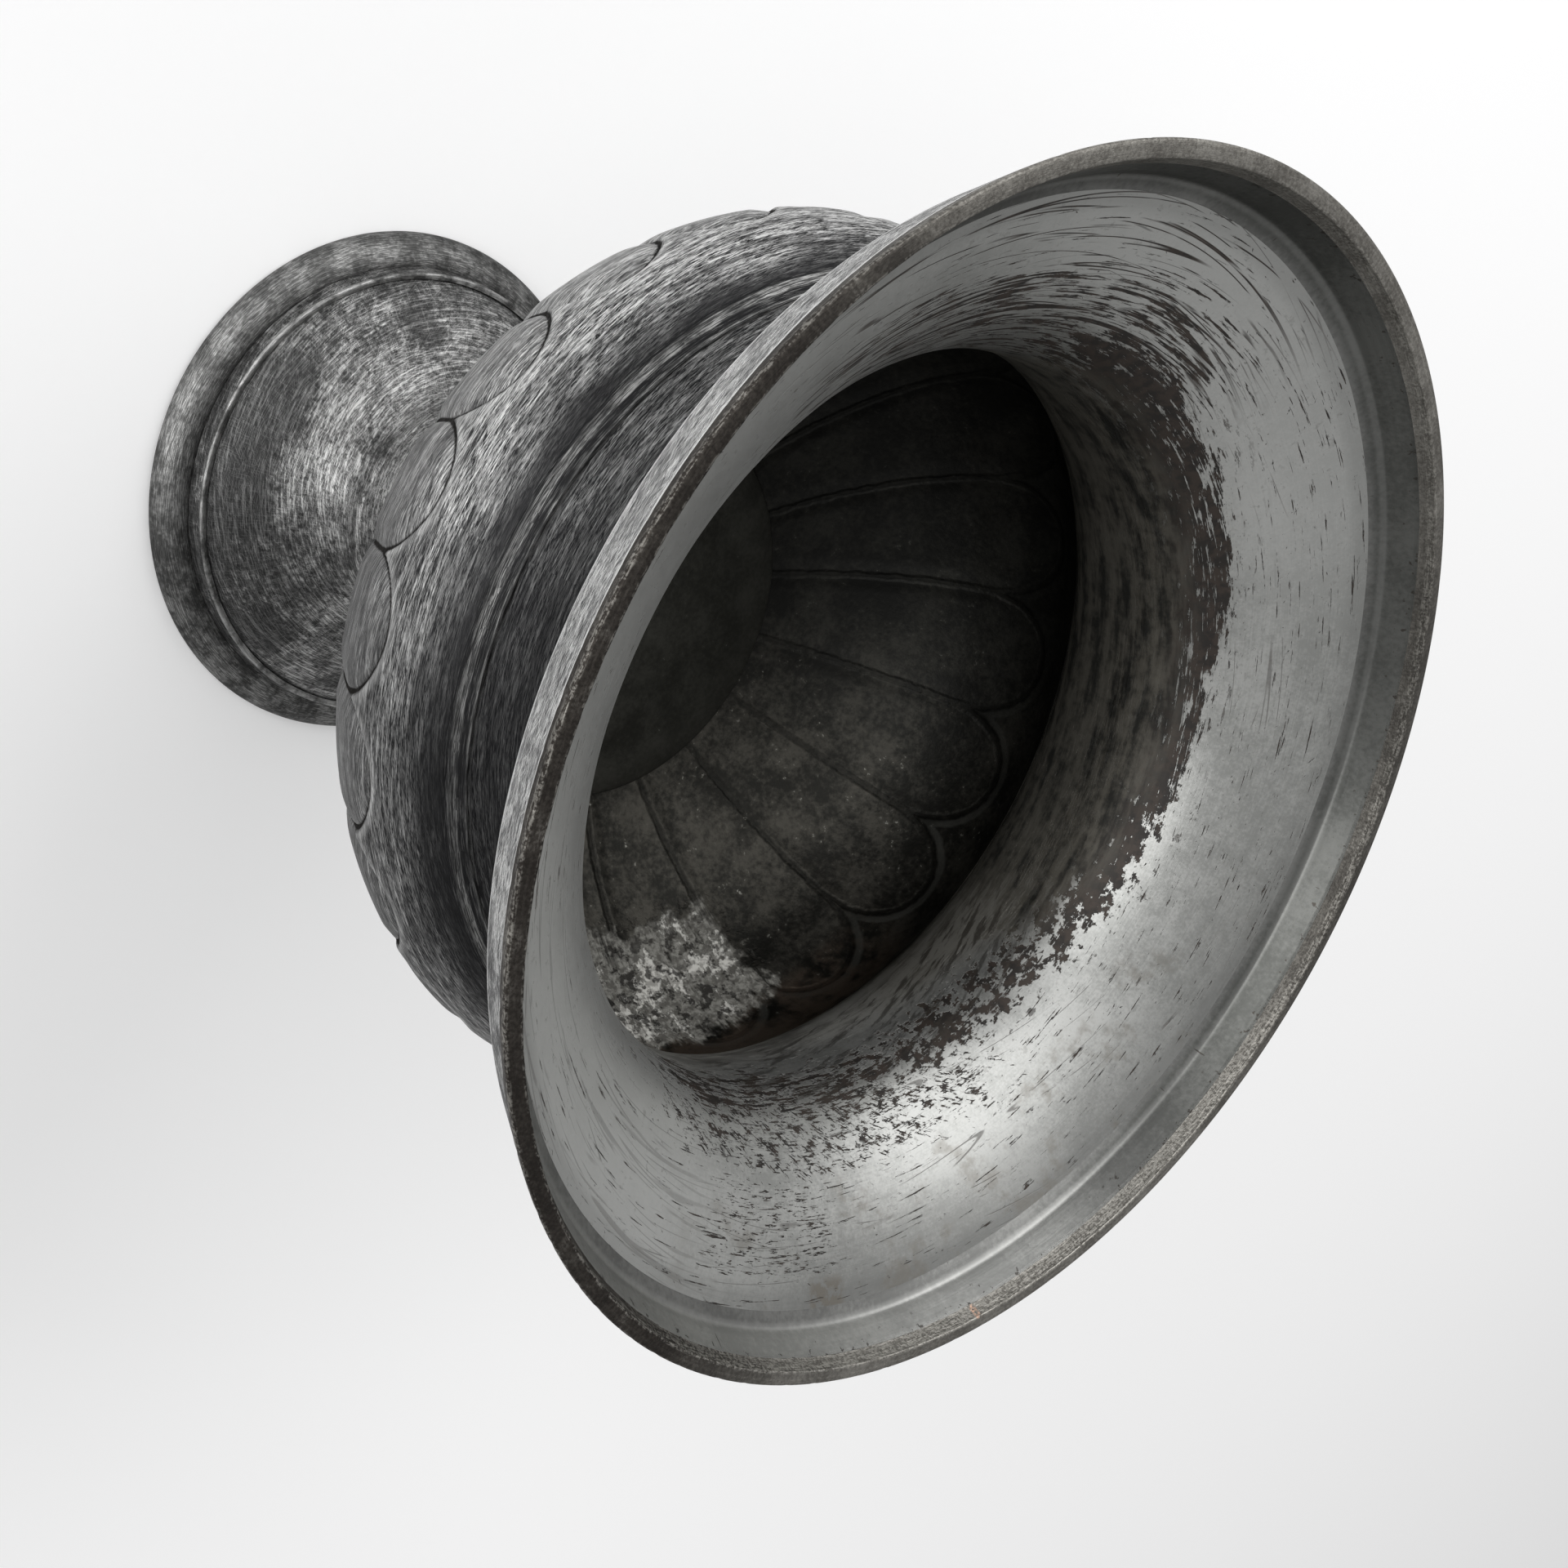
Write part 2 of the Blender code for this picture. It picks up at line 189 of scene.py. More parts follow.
def turned(name, points, columns, materials, closed=True, shift=None, shape=None, split=None):
    """Turns an outline about Z into a mesh, with the distance along the outline as an attribute.

    shift(azimuth, radius, height) moves the surface outwards along its normal. shape(azimuth, radius,
    height) gives a new radius. From the point numbered split on, faces take the second material.
    """
    count = len(points)
    azimuth = np.arange(columns) / columns * TAU
    r = np.repeat(points[:, 0][None, :], columns, 0)
    z = np.repeat(points[:, 1][None, :], columns, 0)
    phi = np.repeat(azimuth[:, None], count, 1)
    if shape is not None:
        r = shape(phi, r, z)
    if shift is not None:
        normal = normals_of(points, closed)
        moved = shift(phi, r, z)
        on_axis = points[:, 0] < 1e-6
        moved[:, on_axis] = moved[:, on_axis].mean(0)
        r = r + normal[None, :, 0] * moved * ~on_axis
        z = z + normal[None, :, 1] * moved
    along = np.concatenate([[0], np.cumsum(np.linalg.norm(np.diff(points, axis=0), axis=1))])
    verts = np.stack([r * np.cos(phi), r * np.sin(phi), z], -1).reshape(-1, 3) * MM
    rows = count if closed else count - 1
    i, j = np.meshgrid(np.arange(rows), np.arange(columns))
    i2, j2 = (i + 1) % count, (j + 1) % columns
    faces = np.stack([j * count + i, j * count + i2, j2 * count + i2, j2 * count + i], -1).reshape(-1, 4)
    mesh = bpy.data.meshes.new(name)
    mesh.vertices.add(len(verts))
    mesh.vertices.foreach_set("co", verts.astype(np.float32).ravel())
    mesh.loops.add(faces.size)
    mesh.loops.foreach_set("vertex_index", faces.astype(np.int32).ravel())
    mesh.polygons.add(len(faces))
    mesh.polygons.foreach_set("loop_start", np.arange(0, faces.size, 4, dtype=np.int32))
    for material in materials:
        mesh.materials.append(material)
    if split is not None:
        mesh.polygons.foreach_set("material_index", (i.ravel() >= split).astype(np.int32))
    attribute = mesh.attributes.new("along", "FLOAT", "POINT")
    attribute.data.foreach_set("value", np.tile(along, columns).astype(np.float32))
    mesh.update(calc_edges=True)
    if points[:, 0].min() < 1e-6:
        body = bmesh.new()
        body.from_mesh(mesh)
        bmesh.ops.remove_doubles(body, verts=body.verts, dist=1e-7)
        body.to_mesh(mesh)
        body.free()
    mesh.shade_smooth()
    mesh.set_sharp_from_angle(angle=math.radians(40))
    piece = placed(name, mesh)
    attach(piece, "root")
    return piece


def wobble(phi, sizes, turn=0.0):
    """Slow unevenness round the piece, from -1 to 0 times the sum of sizes."""
    total = sum(sizes)
    value = sum(size * np.sin((k + 2) * phi + turn * (k + 1) + k * k) for k, size in enumerate(sizes))
    return (value - total) / 2


def petal_place(phi):
    """How many petals round the bowl an azimuth is."""
    place = phi / TAU * PETALS + PETAL_PHASE
    for k, (cosine, sine) in enumerate(PETAL_DRIFT):
        place = place + cosine * np.cos((k + 1) * phi) + sine * np.sin((k + 1) * phi)
    return place


def petal_edge(phi, r, z, tip, length):
    """Distance from the nearest petal outline, negative inside a petal."""
    place = petal_place(phi)
    across = 2 * (place - np.floor(place)) - 1
    up = np.maximum((z - tip + length) / length, 0)
    return (np.sqrt(across ** 2 + up ** 2) - 1) * r * math.pi / PETALS


def smooth(value, low, high):
    t = np.clip((value - low) / (high - low), 0, 1)
    return t * t * (3 - 2 * t)


# ---------------------------------------------------------------- shader helpers

class Value:
    """A number in a material, which adds, subtracts and multiplies by adding nodes."""

    def __init__(self, surface, socket):
        self.surface, self.socket = surface, socket

    def __add__(self, other):
        return self.surface.math("ADD", self, other)

    def __sub__(self, other):
        return self.surface.math("SUBTRACT", self, other)

    def __rsub__(self, other):
        return self.surface.math("SUBTRACT", other, self)

    def __mul__(self, other):
        return self.surface.math("MULTIPLY", self, other)


class Surface:
    """One worn-metal material, built from its own coordinates: azimuth, height and distance along."""

    def __init__(self, name, radius):
        self.material = bpy.data.materials.new(name)
        self.material.use_nodes = True
        self.tree = self.material.node_tree
        self.shader = self.tree.nodes["Principled BSDF"]
        self.radius = radius
        place = self.node("TexCoord").outputs["Object"]
        scaled = self.vector("SCALE", place, scale=1 / MM)
        split = self.node("SeparateXYZ")
        self.put(scaled, split.inputs[0])
        self.point = scaled
        x, y, self.z = (Value(self, output) for output in split.outputs)
        self.r = self.math("SQRT", x * x + y * y)
        self.azimuth = self.math("ARCTAN2", y, x)
        self.ux = self.math("DIVIDE", x, self.r)
        self.uy = self.math("DIVIDE", y, self.r)
        attribute = self.node("Attribute")
        attribute.attribute_name = "along"
        self.along = Value(self, attribute.outputs["Fac"])

    def node(self, kind):
        return self.tree.nodes.new("ShaderNode" + kind)

    def put(self, value, socket):
        if isinstance(value, Value):
            value = value.socket
        if isinstance(value, bpy.types.NodeSocket):
            self.tree.links.new(value, socket)
        elif socket.type == "RGBA" and len(value) == 3:
            socket.default_value = (*value, 1.0)
        else:
            socket.default_value = value

    def math(self, operation, *values):
        node = self.node("Math")
        node.operation = operation
        for value, socket in zip(values, node.inputs):
            self.put(value, socket)
        return Value(self, node.outputs[0])

    def vector(self, operation, value, scale=None):
        node = self.node("VectorMath")
        node.operation = operation
        self.put(value, node.inputs[0])
        if scale is not None:
            node.inputs["Scale"].default_value = scale
        return node.outputs[0]

    def capped(self, total):
        """A sum, held between 0 and 1."""
        total.socket.node.use_clamp = True
        return total

    def most(self, first, *others):
        for other in others:
            first = self.math("MAXIMUM", first, other)
        return first

    def step(self, value, low, high):
        """Rises smoothly from 0 at low to 1 at high, or falls if low is above high."""
        node = self.node("MapRange")
        node.interpolation_type = "SMOOTHSTEP"
        falling = low > high
        for name, number in (("Value", value), ("From Min", min(low, high)), ("From Max", max(low, high)),
                             ("To Min", 1.0 if falling else 0.0), ("To Max", 0.0 if falling else 1.0)):
            self.put(number, node.inputs[name])
        return Value(self, node.outputs[0])

    def band(self, value, low, high, soft):
        """1 between low and high, falling to 0 over soft on each side."""
        return self.step(value, low - soft, low) * self.step(value, high + soft, high)

    def towards(self, azimuth):
        """1 on the side that faces an azimuth in radians, -1 on the side away from it."""
        return self.ux * math.cos(azimuth) + self.uy * math.sin(azimuth)

    def near(self, centre, wide, soft):
        """1 within wide radians of a centre in degrees, falling to 0 over soft."""
        turned_to = self.towards(math.radians(centre))
        return self.step(turned_to, math.cos(min(wide + soft, math.pi)), math.cos(wide))

    def noise(self, vector, scale=1.0, detail=2.0, rough=0.5, distort=0.0):
        node = self.node("TexNoise")
        self.put(vector, node.inputs["Vector"])
        for name, number in (("Scale", scale), ("Detail", detail), ("Roughness", rough),
                             ("Distortion", distort)):
            node.inputs[name].default_value = number
        return Value(self, node.outputs[0])

    def spots(self, size, detail=2.0, rough=0.55, offset=0.0):
        """Even noise whose features are about size millimetres."""
        shifted = self.node("VectorMath")
        shifted.operation = "ADD"
        self.put(self.point, shifted.inputs[0])
        shifted.inputs[1].default_value = (offset, offset * 0.7, -offset)
        return self.noise(shifted.outputs[0], 1 / size, detail, rough)

    def unrolled(self, size, place, offset):
        """A noise vector that goes round the axis in features of a size, and along with place."""
        node = self.node("CombineXYZ")
        for value, socket in zip((self.ux * (self.radius / size) + offset, self.uy * (self.radius / size),
                                  place), node.inputs):
            self.put(value, socket)
        return node.outputs[0]

    def around(self, length, width, detail=2.0, rough=0.5, offset=0.0, slant=0.0, distort=0.0):
        """Noise drawn out round the turning axis: streaks of a length and width in millimetres."""
        place = self.along * (1 / width)
        if slant:
            place = place + self.azimuth * (slant * self.radius / width)
        return self.noise(self.unrolled(length, place, offset), 1.0, detail, rough, distort)

    def down(self, length, width, detail=2.0, rough=0.5, offset=0.0):
        """Noise drawn out along the outline: streaks that run from the mouth towards the foot."""
        return self.noise(self.unrolled(width, self.along * (1 / length), offset), 1.0, detail, rough)

    def mix(self, low, high, share):
        node = self.node("Mix")
        node.data_type = "RGBA"
        self.put(share, node.inputs[0])
        self.put(low, node.inputs[6])
        self.put(high, node.inputs[7])
        return node.outputs[2]

    def blend(self, low, high, share):
        """Number between low and high."""
        return (1.0 - share) * low + share * high

    def finish(self, colour, metallic, roughness, height=None, depth=0.05, dirt=None):
        self.put(colour, self.shader.inputs["Base Color"])
        self.put(metallic, self.shader.inputs["Metallic"])
        self.put(roughness, self.shader.inputs["Roughness"])
        self.put(EDGE_SHINE, self.shader.inputs["Specular Tint"])
        if dirt is not None:
            self.put((1.0 - dirt) * 0.5, self.shader.inputs["Specular IOR Level"])
        if height is not None:
            bump = self.node("Bump")
            bump.inputs["Strength"].default_value = 1.0
            bump.inputs["Distance"].default_value = depth * MM
            self.put(height, bump.inputs["Height"])
            self.put(bump.outputs[0], self.shader.inputs["Normal"])
        return self.material


# ---------------------------------------------------------------- materials

EDGE_SHINE = (0.62, 0.62, 0.62)      # dull patina shines less at grazing angles than clean metal
DARK = (0.024, 0.024, 0.025)
RUBBED = (0.80, 0.80, 0.79)


def brushed_patina(s, amount, dark=DARK, rubbed=RUBBED, extra=0.0):
    """Dark patina rubbed through to light metal in short brushed streaks. Returns colour, share, height."""
    fine = s.around(1.9, 0.11, 3, 0.66)
    wide = s.around(4.2, 0.21, 3, 0.66, offset=7, slant=0.04)
    cross = s.around(1.2, 0.12, 2, 0.6, offset=3, slant=0.25)
    belts = s.around(14, 0.9, 4, 0.62, offset=21)
    streaks = (s.step(fine, 0.48, 0.6) * 0.8 + s.step(wide, 0.475, 0.61) * 0.75
               + s.step(cross, 0.53, 0.62) * 0.5)
    cover = streaks * amount * s.blend(0.42, 1, s.step(belts, 0.38, 0.6))
    share = s.capped(cover + extra)
    height = fine + wide * 0.9 + cross * 0.5
    return (s.mix(dark, rubbed, share), share, height)


def petal_lines(s, tip, length, tilt=0.0):
    """Distance from the petal outlines as nodes, for the same petals as the mesh."""
    place = s.azimuth * (PETALS / TAU) + (PETAL_PHASE + PETALS)
    for k, (cosine, sine) in enumerate(PETAL_DRIFT):
        turn = s.azimuth * float(k + 1)
        place = place + s.math("COSINE", turn) * cosine + s.math("SINE", turn) * sine
    across = s.math("FRACT", place) * 2 - 1
    height = s.z
    if tilt:
        height = s.z - s.towards(TIP_TILT_TOWARDS) * tilt
    up = s.most((height - (tip - length)) * (1 / length), 0)
    ring = s.math("SQRT", across * across + up * up)
    return (ring - 1) * s.r * (math.pi / PETALS)


def bowl_outer_material():
    """Brushed patina, brightest on the shoulder above the petals and dark under the hoop."""
    s = Surface("bowl_outer", 62.0)
    edge = petal_lines(s, OUTER_TIP_HEIGHT, OUTER_TIP_LENGTH) + (s.spots(1.1, 2) - 0.5) * 0.35
    petal = s.step(edge, 0.2, -0.5)
    ragged = s.z + (s.around(14, 3, 3, 0.6, offset=1) - 0.5) * 5
    shoulder = s.step(ragged, 112, 105)
    # Fewer bright streaks on the side towards -125 degrees, away from the window light: painted shade.
    shaded_side = s.near(-125, 0.7, 0.8)
    zone = s.blend(0.06, 1.1, shoulder) * s.blend(1, 0.36, shaded_side) * s.blend(1, 0.82, petal)
    # A band just outside each petal outline is rubbed brighter: partly real wear, partly a painted
    # highlight on the lit edge of the step.
    petal_rim_rub_and_sheen = s.step(edge, 2.4, 0.9) * s.step(edge, 0.5, 0.9) * s.step(s.z, 92, 96)
    extra = petal_rim_rub_and_sheen * 0.22 + petal * 0.05
    colour, share, height = brushed_patina(s, zone, extra=extra)
    groove = s.step(s.math("ABSOLUTE", edge), 0.62, 0.22)
    colour = s.mix(colour, (0.014, 0.013, 0.012), groove * 0.95)
    height = height - groove
    roughness = s.most(s.blend(0.44, 0.36, share), groove * 0.9)
    return s.finish(colour, 1 - groove, roughness, height, 0.05, dirt=groove)


def neck_outer_material():
    """Dark neck with sparse light streaks."""
    s = Surface("neck_outer", 56.0)
    # Fewer streaks on the side towards -125 degrees, away from the window light: painted shade.
    shaded_side = s.near(-125, 0.7, 0.8)
    zone = s.blend(0.5, 0.32, s.step(s.z, 145, 138)) * s.blend(0.95, 0.22, shaded_side)
    colour, share, height = brushed_patina(s, zone, dark=(0.015, 0.015, 0.016))
    return s.finish(colour, 1, s.blend(0.44, 0.36, share), height, 0.05)


def collar_outer_material():
    """Band with crossing scratches and dark mottling, rubbed bright along both of its edges."""
    s = Surface("collar_outer", 77.0)
    fine = s.around(2.6, 0.14, 3, 0.65, distort=0.3)
    slanted = s.around(1.6, 0.13, 2, 0.6, offset=3, slant=0.7)
    other = s.around(1.5, 0.13, 2, 0.6, offset=9, slant=-0.8)
    patch = s.spots(3.4, 4, 0.66)
    speck = s.spots(0.8, 3, 0.6, offset=4)
    streaks = s.step(fine, 0.46, 0.58) + s.step(slanted, 0.5, 0.6) * 0.7 + s.step(other, 0.52, 0.62) * 0.6
    edges = s.step(s.z, 148, 147.45) + s.step(s.z, 154.3, 154.8)
    worn = s.blend(0.12, 0.8, s.step(patch * 0.7 + speck * 0.3, 0.42, 0.57))
    # More and brighter rubbed streaks on the side towards 172 degrees, which faces the light: painted
    # highlight over real wear.
    highlight_side = s.near(172, 0.4, 0.5)
    share = s.capped(streaks * s.most(worn, highlight_side * 0.45) * s.blend(0.5, 1.15, highlight_side)
                     + edges * 0.7)
    colour = s.mix((0.024, 0.024, 0.026), (0.86, 0.86, 0.85), share)
    height = fine + slanted * 0.8 + other * 0.8 + speck
    return s.finish(colour, 1, s.blend(0.45, 0.34, share), height, 0.07)


def collar_inner_material():
    """Smooth dull tin inside the collar, with painted shade on one side and in the groove below the ridge,
    and a faint light line at its foot that is partly rubbed wear and partly painted highlight.
    """
    s = Surface("collar_inner", 76.0)
    soft = s.spots(14, 3, 0.55)
    grain = s.spots(0.8, 3, 0.6, offset=3)
    turning = s.around(40, 0.7, 2, 0.5)
    # Painted shade: the wall on the side towards 45 degrees is darker, away from the light.
    shade = s.near(45, 1, 0.9) * s.step(s.z, 149.3, 150.3)
    marks = s.step(s.down(4, 0.7, 1, 0.5), 0.74, 0.77) * s.step(s.spots(9, 1), 0.52, 0.58)
    dirt = s.step(s.spots(1.3, 3, 0.6) + s.step(s.z, 153.4, 154.8) * 0.06, 0.655, 0.7)
    dirt = dirt * s.step(s.z, 152, 153.5)
    # Faint light line along the ridge: partly rubbed wear, partly a painted highlight, weaker on the shaded
    # side.
    line = s.band(s.z, 150.55, 150.85, 0.35)
    tone = soft * 0.6 + grain * 0.4
    tone = s.step(tone, 0.38, 0.62)
    # Lit and shaded copies of the tin: the lit wall, the groove below the ridge painted darker as shade,
    # and the shaded side.
    light = s.mix((0.37, 0.372, 0.36), (0.48, 0.482, 0.465), tone)
    groove_shade = s.mix((0.17, 0.171, 0.165), (0.25, 0.251, 0.242), tone)
    light = s.mix(light, groove_shade, s.step(s.z, 151, 150.5))
    shaded = s.mix((0.105, 0.107, 0.101), (0.155, 0.157, 0.149), tone)
    colour = s.mix(light, shaded, shade)
    colour = s.mix(colour, (0.5, 0.5, 0.485), line * s.blend(0.25, 0.12, shade))
    colour = s.mix(colour, (0.05, 0.042, 0.036), s.most(marks, dirt) * 0.75)
    roughness = s.blend(0.34, 0.42, turning)
    return s.finish(colour, 1, roughness, turning + grain * 0.8, 0.02)


def lip_material():
    """Brown stain, finely speckled, rubbed light along the inner edge of the lip."""
    s = Surface("lip", 79.0)
    fine = s.around(2.2, 0.22, 3, 0.65)
    patch = s.spots(7, 4, 0.65)
    grain = s.spots(0.45, 3, 0.65)
    speckle = fine * 0.5 + grain * 0.5
    inner_edge = s.band(s.r, 77.6, 78, 0.25)
    outer_edge = s.step(s.r, 79.55, 79.9)
    edges = inner_edge * 0.8 + outer_edge * 0.8
    flecks = s.step(speckle, 0.47, 0.58) * (edges * 0.55 + s.step(patch, 0.52, 0.66) * 0.22)
    worn_side = s.near(-60, 0.5, 0.6) * s.step(s.r, 78.15, 77.75)
    share = s.capped(flecks + worn_side * s.step(speckle, 0.44, 0.54) * 0.55)
    stained = s.near(-152, 0.75, 0.55)
    nearer = s.most(s.near(-62, 0.5, 0.6), s.near(95, 0.6, 0.4) * 0.9)
    pale = s.mix((0.15, 0.142, 0.128), (0.27, 0.26, 0.238), nearer)
    dim = s.mix((0.08, 0.075, 0.068), (0.15, 0.142, 0.128), nearer)
    base = s.mix(s.mix(dim, (0.032, 0.028, 0.025), stained), s.mix(pale, (0.066, 0.059, 0.052), stained),
                 s.step(patch * 0.5 + grain * 0.5, 0.38, 0.62))
    colour = s.mix(base, (0.44, 0.425, 0.39), share)
    copper = s.near(-58, 0.004, 0.004) * s.step(s.r, 78.2, 77.8) * s.step(grain, 0.42, 0.55)
    colour = s.mix(colour, (0.7, 0.45, 0.33), copper * 0.8)
    return s.finish(colour, 0.92, s.blend(0.48, 0.36, share), fine + grain * 1.5, 0.06)


def scratches(s, length, width, offset, slant, thin):
    """Long fine scratches: contour lines of a drawn-out noise, broken up by another."""
    hair = s.math("ABSOLUTE", s.around(length, width, 0, 0, offset=offset, slant=slant) - 0.5)
    broken = s.step(s.around(length * 0.25, width * 1.5, 2, 0.5, offset=offset + 20), 0.5, 0.56)
    return s.step(hair, thin * 2, thin * 0.7) * broken


def throat_ring(s, cloud):
    """Height above the middle of the worn ring, which climbs on one side, and the ring's strength."""
    above = s.z + (cloud - 0.5) * 3 - (s.towards(RING_CLIMBS_TOWARDS) * 2.8 + 133.6)
    return above, s.step(above, -9, -2.5) * s.step(above, 4, 1)


def tinned_material():
    """Satin tinning inside the mouth, flaked through to brown in a ring round the throat, and darkened
    deeper in by grime and painted shade.
    """
    s = Surface("tinned_mouth", 62.0)
    right = s.near(42, 0.75, 0.55)
    corner = s.near(-20, 0.35, 0.45)
    low_side = s.near(-74, 0.36, 0.45)
    high_side = s.near(115, 0.42, 0.4)
    left = s.near(-135, 0.45, 0.4)

    long_flakes = s.around(5, 0.9, 6, 0.72, offset=13)
    round_flakes = s.around(2.6, 1.6, 6, 0.68, offset=17)
    scrapes = s.around(10, 0.34, 4, 0.65, offset=4, slant=0.06)
    dashes = s.around(1.8, 0.32, 4, 0.68, offset=11)
    slashes = s.around(1.6, 0.42, 4, 0.66, offset=31, slant=-0.7)
    specks = s.spots(0.8, 3, 0.65, offset=6)
    cloud = s.spots(18, 3, 0.55)
    mottled = s.spots(2, 4, 0.62, offset=3)

    above, ring = throat_ring(s, cloud)
    flakes = s.blend(long_flakes, round_flakes, corner)
    around_ring = s.step(above, -12, -7) * s.step(above, 7.5, 3)
    ring_share = s.most(right * 0.22, corner * 0.135, low_side * 0.115)
    kept_tin = s.step(scrapes, 0.53, 0.64) * s.blend(0.16, 0.06, corner)
    ring_cover = s.step(flakes + ring * ring_share - kept_tin, 0.595, 0.62)
    ring_cover = ring_cover * around_ring

    under_ring = right * s.band(above, -9, -3, 3)
    streak_zone = s.most(high_side * s.band(s.z, 133, 142, 5), under_ring * 1.1)
    streaks = s.step(scrapes * 0.6 + flakes * 0.4 + streak_zone * 0.085, 0.59, 0.615)
    ragged_zone = low_side * s.band(above, -2, 7, 4.5)
    ragged = s.most(dashes, slashes) * 0.62 + round_flakes * 0.38 + ragged_zone * 0.102
    ragged = s.step(ragged, 0.64, 0.662)
    dash_zone = s.near(-84, 0.14, 0.12) * s.band(s.z, 141.5, 147, 1.5)
    pit_zone = s.band(above, -3, 4, 5) * 0.05 + dash_zone * 0.12
    upper = s.step(s.z, 137, 142) * (1 - dash_zone) * 0.045
    pits = s.step(dashes + pit_zone + upper * -1, 0.7, 0.718) * s.step(s.z, 151, 148)
    dots = s.step(specks + s.band(above, -2, 6, 5) * 0.03, 0.725, 0.75) * 0.75

    hair = s.most(scratches(s, 90, 4, 2, 0.1, 0.0035), scratches(s, 70, 3.4, 5, -0.14, 0.0035))
    fan_zone = s.most(high_side * s.band(s.z, 137, 149, 1.5), left * s.band(s.z, 139, 149, 3) * 0.4)
    fan = s.most(scratches(s, 80, 1.3, 8, 0.05, 0.02), scratches(s, 70, 1.1, 14, -0.06, 0.02))
    hair = s.most(hair * s.step(cloud, 0.48, 0.56) * 0.55, fan * fan_zone)
    worn = s.most(ring_cover, streaks, pits, dots, hair, ragged)

    brushed = s.around(22, 0.2, 3, 0.6, offset=5)
    grain = s.spots(0.45, 2, 0.6)
    tone = cloud * 0.35 + brushed * 0.15 + mottled * 0.28 + grain * 0.22
    tin = s.mix((0.325, 0.329, 0.316), (0.455, 0.458, 0.443), s.step(tone, 0.41, 0.59))
    # Lighter tin on the left side, towards -158 degrees: painted reflection.
    tin = s.mix(tin, (0.6, 0.605, 0.59), s.near(-158, 0.75, 0.6) * 0.75)
    tin = s.mix(tin, (0.54, 0.545, 0.53), s.near(88, 0.5, 0.5) * s.step(s.z, 136, 142) * 0.6)
    dusty = s.step(mottled * 0.6 + specks * 0.4, 0.57, 0.66) * 0.35
    tin = s.mix(tin, (0.19, 0.186, 0.172), dusty)
    # Painted shade: the tin darkens towards the rim and the joint with the groove, most on the side where
    # the window glare falls.
    glare_side = s.near(-40, 0.5, 0.5)
    rim_shade = s.step(s.z, 142, 148.5) * s.blend(0.1, 0.5, glare_side) + s.step(s.z, 147.8, 149) * 0.3
    tin = s.mix(tin, (0.2, 0.202, 0.195), rim_shade)
    blotch = s.near(-76, 0.03, 0.025) * s.band(s.z, 148.3, 149.8, 1)
    blotch = blotch * s.step(mottled, 0.36, 0.5)
    stain = s.band(s.z, 142, 150, 2.5) * s.step(s.spots(8, 4, 0.65, offset=8), 0.55, 0.68)
    stain = stain * s.near(-50, 0.6, 0.4)
    tin = s.mix(tin, (0.2, 0.185, 0.16), s.most(stain * 0.5, blotch * 0.85))
    brown = s.mix((0.05, 0.04, 0.034), (0.028, 0.025, 0.023), s.step(mottled, 0.4, 0.6))
    colour = s.mix(tin, brown, worn)

    # Deep in the throat the tin is darkened by grime and by painted shade: the dark reaches higher on the
    # unlit side and lower on the lit side, and its light streaks are painted brighter on the lit side.
    lit = s.near(-70, 0.7, 0.55)
    unlit = s.near(25, 1, 0.7)
    depth = s.z + (cloud - 0.5) * 5 + lit * 5 + unlit * -3.2 + s.near(-52, 0.3, 0.35) * 4.5
    throat = s.step(depth, 133.5, 127)
    smears = s.around(13, 2, 5, 0.62, offset=41, slant=0.05) * 0.7 + mottled * 0.3
    # A polished patch in the lower throat, painted lighter as a reflection; the lit side is also painted a
    # little lighter.
    polished_sheen = s.near(-36, 0.2, 0.28) * s.band(s.z, 115.5, 124.5, 3)
    smears = smears + polished_sheen * 0.14 + lit * 0.06
    grime_and_shade = s.mix((0.016, 0.016, 0.014), (0.1, 0.093, 0.078), s.step(smears, 0.38, 0.58))
    streaky = smears * 0.7 + s.around(6, 0.3, 4, 0.65, offset=51) * 0.3
    grime_and_shade = s.mix(grime_and_shade, (0.4, 0.395, 0.365), s.step(streaky, 0.52, 0.66) * s.blend(0.25, 1, lit)
                  * s.blend(1, 0.3, unlit))
    swirl = (s.step(s.around(9, 1.3, 5, 0.66, offset=61, slant=0.22), 0.5, 0.6) * s.near(-52, 0.45, 0.35)
             * s.band(s.z, 118, 131, 3))
    grime_and_shade = s.mix(grime_and_shade, (0.045, 0.04, 0.034), swirl * 0.75)
    grime_and_shade_share = throat * s.most(s.blend(0.92, 0.72, lit), unlit * 0.96)
    colour = s.mix(s.mix(colour, grime_and_shade, grime_and_shade_share), (0.05, 0.044, 0.037), swirl * 0.6)
    relief = worn * -0.8 + brushed * 0.2 + grain * 0.25 + mottled * 0.2
    roughness = s.blend(0.36, 0.5, worn) + (tone - 0.5) * 0.3
    metallic = s.blend(0.8, 0.45, s.most(worn, throat))
    return s.finish(colour, metallic, roughness, relief, 0.04)


